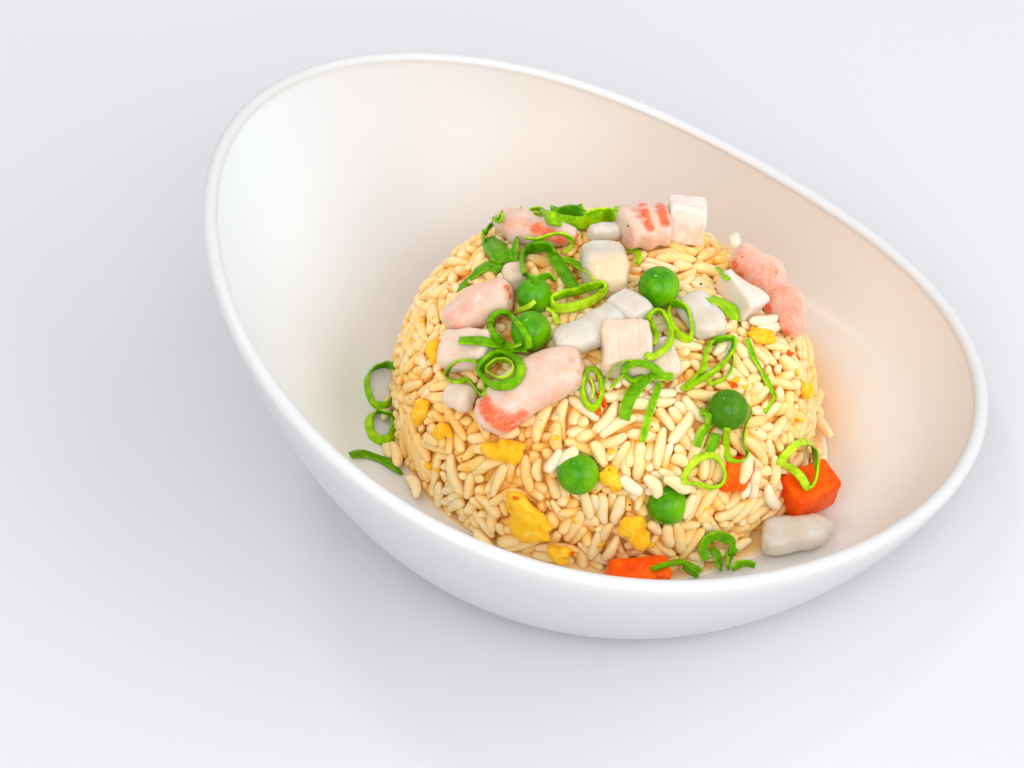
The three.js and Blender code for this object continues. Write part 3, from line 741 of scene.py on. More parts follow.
def bent(s, steps=44, around=30, seed=0.0, rib=0.08, wobble=0.0):
    L, T = s["length"], math.radians(s.get("turn", 0))
    end = s.get("end", 0.42)

    def centre(t):
        u = (t - 0.5) * T
        if abs(T) < 1e-3:
            return (t - 0.5) * L, 0.0, 0.0
        return (L / T) * math.sin(u), (L / T) * (math.cos(u) - math.cos(T / 2) * 0.5 - 0.5), -u

    def swell(t):
        e = s["head"] if t < 0.5 else s["tail"]
        d = abs(t - 0.5) * 2
        rnd = math.sqrt(max(1 - max(d - (1 - end), 0) ** 2.6 / end**2.6, 0))
        ribs = s.get("ribs", 0)
        k = rib * math.cos(ribs * TAU * t) if ribs else 0
        return (1 - (1 - e) * d * d) * (0.32 + 0.68 * rnd) * (1 + k)

    a = np.arange(around) / around * TAU
    loops, tt = [], []
    for j in range(steps + 1):
        t = 0.5 - 0.5 * math.cos(j / steps * math.pi)
        x, y, u = centre(t)
        k = swell(t)
        out = np.array([math.cos(u), math.sin(u), 0])
        side = np.array([-out[1], out[0], 0])
        cs, sn = np.cos(a), np.sin(a)
        pw = s.get("square", 2.3)
        sq = 1 / (np.abs(cs) ** pw + np.abs(sn) ** pw) ** (1 / pw)
        loops.append(np.array([x, y, 0]) + side * (s["width"] / 2 * k * cs * sq)[:, None] + np.array([0, 0, 1.0]) * (s["thick"] / 2 * k * sn * sq)[:, None])
        tt.append(t)
    x0, y0, u0 = centre(0)
    x1, y1, u1 = centre(1)
    c0 = np.array([x0 - math.cos(u0) * 0.06 * s["width"], y0 - math.sin(u0) * 0.06 * s["width"], 0])
    c1 = np.array([x1 + math.cos(u1) * 0.06 * s["width"], y1 + math.sin(u1) * 0.06 * s["width"], 0])
    v, f = loft(loops, c0, c1)
    n = vertex_normals(v, f)
    t = np.concatenate([np.repeat(tt, around), [0, 1]])
    v = v + n * (0.26 * noise(v, 3.2, seed) + 0.11 * noise(v, 1.3, seed + 4) + wobble * noise(v, 5.5, seed + 7))[:, None]
    return v, f, t


def scrap(s, seed, around=56, rings=10, curd=0.38):
    l, w, h = s["size"]
    sd = s["size"][0] * 1.7 + s["az"] * 0.05
    a = np.arange(around) / around * TAU
    e = 1 + 0.16 * np.sin(2 * a + sd) + 0.12 * np.sin(3 * a + 2.3 * sd) + 0.08 * np.sin(5 * a + 4 * sd) + 0.025 * np.sin(9 * a + 7 * sd)
    loops = []
    for j in range(1, rings):
        th = j / rings * math.pi
        k, z = math.sin(th) ** 0.62, -math.cos(th)
        loops.append(np.stack([l / 2 * k * e * np.cos(a), w / 2 * k * e * np.sin(a), z * h / 2 * (1 - 0.12 * k) + 0.12 * h * np.sin(2 * a + sd) * k], 1))
    v, f = loft(loops, (0, 0, -h / 2), (0, 0, h / 2))
    n = vertex_normals(v, f)
    v = v + n * (curd * noise(v, 1.9, seed) + 0.5 * curd * noise(v, 0.85, seed + 2))[:, None]
    return v, f


carriers = []      # (vertices, triangles) that scattered pieces may lie on
balls_in_way = []  # (centre, radius) that the grains keep clear of
shown = {}         # node name: object


def near(v, f, uvs, size, soft=0.6):
    """1 at the vertices near the points of the piece that lie under these places of the photograph's frame."""
    tree = BVHTree.FromPolygons(v.tolist(), tri_faces(f).tolist())
    out = np.zeros(len(v))
    for u, w in uvs:
        d = ray(u, w)
        loc, *_ = tree.ray_cast(Vector(CAM_POS), Vector(d))
        if loc is None:
            q = v - CAM_POS
            off = np.linalg.norm(q - (q @ d)[:, None] * d, axis=1)
            loc = v[int(np.argmin(off))]
        out = np.maximum(out, 1 - smoothstep(size * (1 - soft), size * (1 + soft), np.linalg.norm(v - np.array(loc), axis=1)))
    return out


def over_dome(u, v, lift):
    """Where the line of sight through (u, v) first meets the dome raised by lift, or passes nearest to it."""
    d = ray(u, v)
    t = np.arange(560, 760, 0.25)
    p = CAM_POS + d * t[:, None]
    q = p - DOME
    a = np.arctan2(q[:, 1], q[:, 0])
    f = (np.hypot(q[:, 0], q[:, 1]) / (dome_radius(a) + lift)) ** DN + (np.maximum(q[:, 2], 0) / (DH + lift)) ** DN - 1
    inside = np.nonzero((f < 0) & (q[:, 2] > 0))[0]
    return p[inside[0]] if len(inside) else p[int(np.argmin(np.where(q[:, 2] > 0.6, f, 1e9)))]


def place_piece(name, v, f, R, p, mat, slot_name, spheres, **values):
    w = v @ R.T + p
    b = Body()
    b.add(w, f, **values)
    ob = b.object(name + "_food", mat)
    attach(ob, "root")
    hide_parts(name)
    carriers.append((w, tri_faces(f)))
    for c, r in spheres:
        balls_in_way.append((R @ np.asarray(c, float) + p, r))
    shown[name] = ob
    return ob


M = {}


def make_toppings():
    M.update(pea=pea(), carrot=carrot(), shrimp=shrimp(), squid=squid(), surimi=surimi(), egg=egg())
    for i, (name, r, az, el, lift) in enumerate(PEAS):
        R, p = seat(dict(az=az, el=el, lift=lift, spin=i * 57.0, tilt=i * 31.0))
        v, f = ball(r * 0.985, i * 2.7 + 1)
        w = v @ R.T
        # painted light: the side of each pea towards the front right is painted paler
        pale = 0.55 * smoothstep(0.2, 0.9, unit(w) @ unit(np.array([0.75, -0.35, -0.1]))) * (0.35 if name in ("pea_4", "pea_2") else 1.0)
        # painted shade: pea_4 is painted darker than the other peas
        place_piece(name, v, f, R, p, M["pea"], "pea", [((0, 0, 0), r)], pale=pale, shade=0.6 if name == "pea_4" else 0.0)
    for i, s in enumerate(CARROTS):
        R, p = seat(s)
        v, f, _ = block(s, i * 3.1 + 2, rough=0.2)
        place_piece(s["name"], v, f, R, p, M["carrot"], "carrot", block_balls(s))
    # where each piece is flushed with orange: places in the photograph's frame, and the reach in mm
    flush = {
        "shrimp_1": [([(536, 228), (548, 234), (560, 240), (573, 243), (586, 247)], 1.5, 0.9), ([(512, 222), (524, 222), (505, 232)], 1.8, 0.3)],
        "shrimp_2": [([(507, 288), (511, 296), (514, 304)], 0.8, 0.9), ([(450, 316), (457, 325), (466, 308)], 2.0, 0.3)],
        "shrimp_3": [([(660, 201), (661, 206), (662, 211), (663, 216), (665, 222)], 1.15, 1.0), ([(643, 204), (644, 210), (646, 216), (648, 222), (650, 227)], 1.0, 0.9), ([(636, 210), (639, 217)], 0.8, 0.5), ([(630, 240), (645, 243), (660, 242)], 1.8, 0.25)],
        "shrimp_4": [([(734, 265), (741, 276), (750, 287), (759, 297), (768, 308), (777, 320), (786, 333)], 1.1, 0.95), ([(745, 262), (765, 275), (780, 292), (790, 305), (790, 325)], 3.6, 0.42)],
        "shrimp_5": [([(484, 402), (486, 409), (490, 416), (497, 422), (505, 427), (514, 429), (523, 426)], 1.5, 1.0), ([(497, 413), (506, 418), (515, 420), (522, 415)], 1.3, 0.75), ([(573, 360), (579, 372), (577, 384)], 0.8, 0.35)],
    }

    def blush_of(name, w, f):
        out = np.zeros(len(w))
        for uv, size, k in flush.get(name, ()):
            out = np.maximum(out, k * near(w, f, uv, size))
        return out

    for i, s in enumerate(SHRIMPS):
        R, p = seat(s)
        v, f, t = bent(s, seed=i * 2.3 + 5, rib=dict(shrimp_4=0.13, shrimp_5=0.02, shrimp_2=0.04).get(s["name"], 0.07), wobble=0.3)
        w = v @ R.T + p
        place_piece(s["name"], v, f, R, p, M["shrimp"], "shrimp", bent_balls(s), blush=blush_of(s["name"], w, f))
    # on the squid this orange flush is painted warm shade: on their undersides, and under the leaf that lies over
    # squid_5
    flush.update(
        squid_3=[([(600, 268), (608, 272), (614, 262), (600, 280), (616, 276), (618, 262)], 3.0, 0.8)],
        squid_5=[([(716, 332), (722, 326)], 1.5, 0.4)],
        squid_1=[([(562, 350), (575, 345)], 1.5, 0.3)],
    )
    cut = dict(
        squid_1=dict(width=7.4, square=2.8, end=0.35), squid_2=dict(square=3.0, end=0.25), squid_3=dict(square=3.6, end=0.22, width=9.6),
        squid_4=dict(square=2.6), squid_5=dict(square=3.0, end=0.3), squid_6=dict(square=2.4, head=1.05, tail=0.62, width=8.4, turn=-45, end=0.5),
    )
    for i, s in enumerate(SQUIDS):
        R, p = seat(s)
        s = dict(s, **cut[s["name"]])
        v, f, t = bent(s, steps=38, around=26, seed=i * 3.7 + 11, wobble=dict(squid_6=0.6, squid_1=0.3).get(s["name"], 0.6))
        w = v @ R.T + p
        place_piece(s["name"], v, f, R, p, M["squid"], "squid", bent_balls(s), blush=blush_of(s["name"], w, f))
    for i, s in enumerate(SURIMIS):
        R, p = seat(s)
        s = dict(s, lumpy=0.75, soft=dict(surimi_1=1.2, surimi_2=1.1, surimi_3=1.3, surimi_4=1.1, surimi_5=1.8, surimi_6=1.7, surimi_7=1.9)[s["name"]])
        v, f, flat = block(s, i * 4.3 + 21, n=24, rough=0.24)
        fibre = np.zeros(len(v))
        blush = np.zeros(len(v))
        name = s["name"]
        if name in ("surimi_1", "surimi_2", "surimi_3", "surimi_5"):
            # strands of the flaked flesh run along the piece
            lines = flat[:, 1] + 0.35 * noise(flat, 4.0, i) * 1.0
            groove = np.abs(np.sin(lines * math.pi / 1.25 + i))
            cut = smoothstep(0.30, 0.0, groove)
            fibre = cut * 0.75
            n = vertex_normals(v, f)
            v = v - n * (0.22 * cut)[:, None]
        w = v @ R.T + p
        if name == "surimi_2":
            blush = 0.7 * near(w, f, [(604, 330), (604, 342), (605, 354), (606, 368)], 0.8)
        # painted warm shade: the undersides of surimi_1 and of surimi_4 to surimi_7, towards the rice, are painted
        # peach
        if name == "surimi_1":
            blush = smoothstep(1.0, -3.5, flat[:, 2]) * 0.22
        if name in ("surimi_4", "surimi_5", "surimi_6", "surimi_7"):
            blush = smoothstep(0.5, -2.5, flat[:, 2]) * 0.4
        place_piece(name, v, f, R, p, M["surimi"], "surimi", block_balls(s), fibre=fibre, blush=blush, white=dict(surimi_1=0.8, surimi_4=0.6).get(name, 0.0))
    for i, s in enumerate(EGGS):
        R, p = seat(s)
        v, f = scrap(s, i * 2.9 + 31)
        l, w_, h = s["size"]
        place_piece(s["name"], v, f, R, p, M["egg"], "egg", [((x * l, 0, 0), min(w_ * 0.42, h * 0.62)) for x in (-0.25, 0, 0.25)])


def block_balls(s):
    l, w, h = s["size"]
    r = min(l, w, h) / 2
    out = []
    for x in np.linspace(-(l / 2 - r), l / 2 - r, max(1, math.ceil((l - 2 * r) / r) + 1)):
        for y in np.linspace(-(w / 2 - r), w / 2 - r, max(1, math.ceil((w - 2 * r) / r) + 1)):
            for z in np.linspace(-(h / 2 - r), h / 2 - r, max(1, math.ceil((h - 2 * r) / r) + 1)):
                k = 1 - s.get("taper", 0) * (x / l + 0.5)
                out.append(((x, y * k, z), r * (0.75 + 0.25 * k)))
    for sx in (-1, 1):
        for sy in (-1, 1):
            for sz in (-1, 1):
                k = 1 - s.get("taper", 0) * (sx * 0.35 + 0.5)
                out.append(((sx * (l / 2 - 1.5), sy * (w / 2 - 1.5) * k, sz * (h / 2 - 1.5)), 1.4))
    return out


def bent_balls(s):
    L, T = s["length"], math.radians(s.get("turn", 0))
    out = []
    for t in np.linspace(0.08, 0.92, 9):
        u = (t - 0.5) * T
        x, y = ((t - 0.5) * L, 0) if abs(T) < 1e-3 else ((L / T) * math.sin(u), (L / T) * (math.cos(u) - math.cos(T / 2) * 0.5 - 0.5))
        k = 1 if 0.25 < t < 0.75 else 0.82
        r = s["thick"] / 2 * k
        off = max(s["width"] / 2 * k - r, 0)
        for o in ((-off, off) if off > 0.4 else (0,)):
            out.append(((x + math.sin(-u) * -o, y + math.cos(-u) * o, 0), r))
    return out


# ---------------------------------------------------------------- grains of rice
GRAIN_SEED = 20


def grain_shapes(n, rng):
    length = np.clip(rng.normal(7.5, 1.0, n), 4.8, 9.4)
    broken = rng.random(n) < 0.12
    length[broken] = rng.uniform(3.6, 5.2, broken.sum())
    width = np.clip(rng.normal(2.62, 0.22, n), 2.1, 3.2)
    return length, width, width * rng.uniform(0.80, 0.93, n)


def segment_gap(a0, a1, b0, b1):
    """Nearest points of pairs of segments, as fractions along each, and the vector between them."""
    u, v, w = a1 - a0, b1 - b0, a0 - b0
    a, b, c = (u * u).sum(1), (u * v).sum(1), (v * v).sum(1)
    d, e = (u * w).sum(1), (v * w).sum(1)
    den = a * c - b * b
    s = np.clip(np.where(den > 1e-6, (b * e - c * d) / np.maximum(den, 1e-6), 0.5), 0, 1)
    t = np.clip((b * s + e) / np.maximum(c, 1e-6), 0, 1)
    s = np.clip((b * t - d) / np.maximum(a, 1e-6), 0, 1)
    return s, t, w + u * s[:, None] - v * t[:, None]


def pack_grains():
    """Grains pressed by the mould: spread through a shell under the dome's outline, then pushed apart."""
    rng = np.random.default_rng(GRAIN_SEED)
    n = 1810
    rings = np.array(dome_grid(160, 60))
    top = np.array([DX, DY, FLOOR + DH])
    v, f = loft(rings, (DX, DY, FLOOR), top)
    t = tri_faces(f)
    c = v[t]
    area = np.linalg.norm(np.cross(c[:, 1] - c[:, 0], c[:, 2] - c[:, 0]), axis=1)
    area[c[:, :, 2].max(1) < FLOOR + 0.01] = 0
    pick = rng.choice(len(t), n, p=area / area.sum())
    k = rng.dirichlet((1, 1, 1), n)
    p = (c[pick] * k[:, :, None]).sum(1)
    _, nrm = dome_depth(p)
    length, width, thick = grain_shapes(n, rng)
    rad = (width + thick) / 4
    half = np.maximum(length / 2 - rad * 0.9, 0.5)
    # two loose layers
    outer = rng.random(n) < 0.52
    want = np.where(outer, rad + np.abs(rng.normal(0, 1.0, n)), rad + rng.uniform(1.6, 3.2, n))
    p = p - nrm * want[:, None]
    p[:, 2] = np.maximum(p[:, 2], FLOOR + rad)
    d = rng.normal(size=(n, 3))
    lean = rng.normal(0, 0.62, n)
    d = unit(d - nrm * (d * nrm).sum(1)[:, None])
    d = unit(d + nrm * lean[:, None])
    a, b = p - d * half[:, None], p + d * half[:, None]
    bc = np.array([x[0] for x in balls_in_way])
    br = np.array([x[1] for x in balls_in_way])
    rounds = 90
    for it in range(rounds):
        if it % 6 == 0:
            mid = (a + b) / 2
            q = (mid * mid).sum(1)
            d2 = q[:, None] + q[None, :] - 2 * mid @ mid.T
            reach = half[:, None] + half[None, :] + rad[:, None] + rad[None, :] + 0.6
            I, J = np.nonzero(np.triu(d2 < reach * reach, 1))
        s, tt, gap = segment_gap(a[I], b[I], a[J], b[J])
        dist = np.linalg.norm(gap, axis=1)
        need = (rad[I] + rad[J]) * 0.84
        hit = dist < need
        i, j, s, tt, gap, dist, need = I[hit], J[hit], s[hit], tt[hit], gap[hit], dist[hit], need[hit]
        push = gap / np.maximum(dist, 1e-3)[:, None] * ((need - dist) * 0.42)[:, None]
        da, db, cnt = np.zeros_like(a), np.zeros_like(b), np.full(n, 1.0)
        np.add.at(da, i, push * (1 - s)[:, None]); np.add.at(db, i, push * s[:, None])
        np.add.at(da, j, -push * (1 - tt)[:, None]); np.add.at(db, j, -push * tt[:, None])
        np.add.at(cnt, i, 0.22); np.add.at(cnt, j, 0.22)
        a += da / cnt[:, None] * 1.6
        b += db / cnt[:, None] * 1.6
        # clear of the pieces in the rice
        u = b - a
        uu = np.maximum((u * u).sum(1), 1e-6)
        w = bc[None, :, :] - a[:, None, :]
        sk = np.clip((w * u[:, None, :]).sum(2) / uu[:, None], 0, 1)
        g = a[:, None, :] + u[:, None, :] * sk[..., None] - bc[None]
        gd = np.linalg.norm(g, axis=2)
        over = np.maximum(rad[:, None] * 0.9 + br[None, :] - gd, 0)
        ni, kb = np.nonzero(over > 0)
        if len(ni):
            mv = g[ni, kb] / np.maximum(gd[ni, kb], 1e-3)[:, None] * (over[ni, kb] * 0.5)[:, None]
            c2 = np.bincount(ni, minlength=n).clip(1)[ni][:, None] ** 0.5
            np.add.at(a, ni, mv * (1 - sk[ni, kb] * 0.6)[:, None] / c2)
            np.add.at(b, ni, mv * (0.4 + sk[ni, kb] * 0.6)[:, None] / c2)
        # under the outline, and not too deep
        for e in (a, b):
            dep, nn = dome_depth(e)
            out = np.maximum(rad * 0.98 - dep, 0) * 0.8
            low = np.maximum(dep - (want + 1.3), 0) * 0.35
            e += nn * (low - out)[:, None]
            e[:, 2] = np.maximum(e[:, 2], FLOOR + rad * 0.9)
        mid = (a + b) / 2
        dep, nn = dome_depth(mid)
        pull = np.clip(dep - want, -1, 1) * np.where(outer, 0.16, 0.05) * (it < rounds - 10)
        a += nn * pull[:, None]
        b += nn * pull[:, None]
        mid, u = (a + b) / 2, unit(b - a)
        a, b = mid - u * half[:, None], mid + u * half[:, None]
    mid, u = (a + b) / 2, unit(b - a)
    # grains that a piece has swallowed are dropped
    w = mid[:, None, :] - bc[None]
    keep = (np.linalg.norm(w, axis=2) > br[None, :] * 0.72).all(1)
    dep, nn = dome_depth(mid)
    keep &= dep < 5.2
    return mid[keep], u[keep], nn[keep], length[keep], width[keep], thick[keep]


def grain_mesh(mid, along, up, length, width, thick, tone, rng, rings=7, around=8):
    n = len(mid)
    th = np.arange(1, rings + 1) / (rings + 1) * math.pi
    t = -np.cos(th)
    prof = np.sin(th) ** 0.60
    ph = np.arange(around) / around * TAU
    point = rng.uniform(-0.26, 0.26, n)[:, None, None]
    bend = rng.normal(0, 0.04, n)[:, None, None] + rng.choice([-0.04, 0.04], n)[:, None, None]
    w1, w2 = rng.uniform(0, TAU, n)[:, None, None], rng.uniform(0, TAU, n)[:, None, None]
    T, P = t[None, :, None], ph[None, None, :]
    rr = prof[None, :, None] * (1 - point * T) * (1 + 0.08 * np.sin(2.1 * T * 2 + w1 + P) + 0.055 * np.sin(3 * P + w2 + 3.3 * T))
    L, W, H = length[:, None, None], width[:, None, None], thick[:, None, None]
    x = T * L / 2 + 0 * P
    y = rr * W / 2 * np.cos(P) + bend * L * (1 - T * T)
    z = rr * H / 2 * np.sin(P) * (1 - 0.10 * np.exp(-((P - math.pi / 2) ** 2) * 5))
    loc = np.stack([np.broadcast_to(x, y.shape), y, z], -1).reshape(n, -1, 3)
    e0 = np.stack([-length / 2 * 1.02, 0 * length, 0 * length], -1)[:, None]
    e1 = np.stack([length / 2 * 1.02, 0 * length, 0 * length], -1)[:, None]
    loc = np.concatenate([loc, e0, e1], 1)
    side = unit(np.cross(up, along))
    top = np.cross(along, side)
    roll = rng.normal(0, 0.5, n)
    s2 = side * np.cos(roll)[:, None] + top * np.sin(roll)[:, None]
    t2 = np.cross(along, s2)
    wv = mid[:, None] + loc[..., :1] * along[:, None] + loc[..., 1:2] * s2[:, None] + loc[..., 2:] * t2[:, None]
    m = wv.shape[1]
    i = np.arange(around); j = (i + 1) % around
    q = np.concatenate([np.stack([r * around + i, r * around + j, (r + 1) * around + j, (r + 1) * around + i], 1) for r in range(rings - 1)])
    tr = np.concatenate([np.stack([np.full(around, m - 2), j, i], 1), np.stack([np.full(around, m - 1), (rings - 1) * around + i, (rings - 1) * around + j], 1)])
    c = loc[0][np.concatenate([q[:, :3], tr])]
    if (c[:, 0] * np.cross(c[:, 1], c[:, 2])).sum() < 0:
        q, tr = q[:, ::-1], tr[:, ::-1]
    off = np.arange(n)[:, None, None] * m
    return wv.reshape(-1, 3), [(q[None] + off).reshape(-1, 4), (tr[None] + off).reshape(-1, 3)], np.repeat(tone, m)


def rice_tone(p, rng):
    """Cream white in the middle of the front, more orange at the left and towards the bottom of the dome: partly the
    seasoning's own unevenness, partly painted light and shade.
    """
    pale = over_dome(690, 385, 0)
    d = np.linalg.norm(p - pale, axis=1)
    base = 0.36 + 0.32 * smoothstep(10, 36, d)
    for u, v, more in ((758, 425, 0.35), (715, 490, 0.25), (400, 430, 0.2)):
        base = base + more * np.exp(-(np.linalg.norm(p - over_dome(u, v, 0), axis=1) / 9) ** 2)
    return np.clip(base + 0.34 * noise(p, 11.0, 2) + 0.14 * noise(p, 5.0, 6) + rng.normal(0, 0.09, len(p)), 0.0, 0.95)


def make_rice():
    mat = rice()
    rng = np.random.default_rng(GRAIN_SEED + 1)
    mid, along, up, length, width, thick = pack_grains()
    tone = rice_tone(mid, rng)
    body = Body()
    v, f, tn = grain_mesh(mid, along, up, length, width, thick, tone, rng)
    dep, _ = dome_depth(v)
    # deeper under the heap's outline the grains are tinted orange: partly sauce between grains, partly painted shade of
    # the gaps
    body.add(v, f, tone=tn, deep=np.clip((dep - 0.45) / 1.6, 0, 1))
    # loose grains that the photograph shows apart from the rest, each with its two ends
    loose = [
        ((735, 247), (737, 233), 1.6, 0.0), ((748, 322), (781, 316), 1.2, 0.02), ((757, 331), (783, 325), 0.7, 0.1),
        ((766, 484), (781, 510), 0.9, 0.05), ((758, 480), (744, 496), 0.7, 0.05), ((770, 300), (779, 318), 0.6, 0.2),
        ((548, 470), (560, 452), 0.9, 0.1), ((622, 480), (640, 492), 0.7, 0.1),
        ((646, 477), (659, 496), 1.9, 0.3), ((664, 478), (690, 491), 2.5, 0.45), ((694, 495), (683, 518), 1.6, 0.35),
        ((749, 456), (742, 484), 1.5, 0.3), ((757, 470), (753, 500), 1.2, 0.3), ((560, 462), (573, 451), 1.2, 0.25),
    ]
    rows = []
    for (u0, v0), (u1, v1), lift, tone_ in loose:
        p0, p1 = over_dome(u0, v0, lift), over_dome(u1, v1, lift)
        rows.append((p0, p1, tone_))
    m_ = np.array([(a + b) / 2 for a, b, _ in rows]); u_ = np.array([unit(b - a) for a, b, _ in rows])
    l_ = np.array([np.clip(np.linalg.norm(b - a), 5.5, 9.0) for a, b, _ in rows])
    _, n_ = dome_depth(m_)
    v, f, tn = grain_mesh(m_, u_, n_, l_, np.full(len(l_), 2.7), np.full(len(l_), 2.35), np.array([x[2] for x in rows]), rng)
    body.add(v, f, tone=tn, deep=0)
    # grains at the foot of the dome, on the bottom of the bowl
    k = 46
    az = np.concatenate([rng.uniform(-75, 40, 22), rng.uniform(0, 360, 24)]) * math.pi / 180
    rr = dome_radius(az) + rng.uniform(-0.6, 1.6, k)
    z = FLOOR + rng.uniform(1.2, 2.6, k)
    m_ = np.stack([DX + rr * np.cos(az), DY + rr * np.sin(az), z], 1)
    bc = np.array([x[0] for x in balls_in_way]); br = np.array([x[1] for x in balls_in_way])
    ok = (np.linalg.norm(m_[:, None] - bc[None], axis=2) > br[None] + 1.6).all(1)
    m_, az = m_[ok], az[ok]
    k = len(m_)
    tang = np.stack([-np.sin(az), np.cos(az), np.zeros(k)], 1)
    rad_ = np.stack([np.cos(az), np.sin(az), np.zeros(k)], 1)
    u_ = unit(tang + rad_ * rng.normal(0, 0.25, k)[:, None] + np.array([0, 0, 1.0]) * rng.normal(0, 0.12, k)[:, None])
    v, f, tn = grain_mesh(m_, u_, np.tile([0, 0, 1.0], (k, 1)), rng.uniform(5.2, 8, k), rng.uniform(2.4, 2.8, k), rng.uniform(2.1, 2.4, k), rng.uniform(0.3, 0.7, k), rng)
    body.add(v, f, tone=tn, deep=0.1)
    v = body.verts()
    v[:, 2] = np.maximum(v[:, 2], FLOOR + 0.02)
    body.v = [v]
    ob = body.object("rice_grains", mat)
    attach(ob, "root")
    return v, tri_faces(body.f), mid, up


def make_core():
    rings = dome_grid(220, 92, inset=2.9)
    v, f = loft(rings, (DX, DY, FLOOR + 0.05), (DX, DY, FLOOR + DH - 3.2))
    n = vertex_normals(v, f)
    # lumps the size of buried grains
    bump = 0.55 * noise(v, 3.0, 1) + 0.45 * noise(v * np.array([1, 2.2, 1.4]), 3.6, 5) + 0.25 * noise(v, 1.3, 8)
    low = smoothstep(FLOOR + 0.2, FLOOR + 3, v[:, 2])
    v = v + n * (bump * low)[:, None]
    v[:, 2] = np.maximum(v[:, 2], FLOOR + 0.03)
    b = Body()
    b.add(v, f)
    ob = b.object("rice_heart", rice_core())
    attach(ob, "root")
    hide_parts("rice_mound")
    return ob


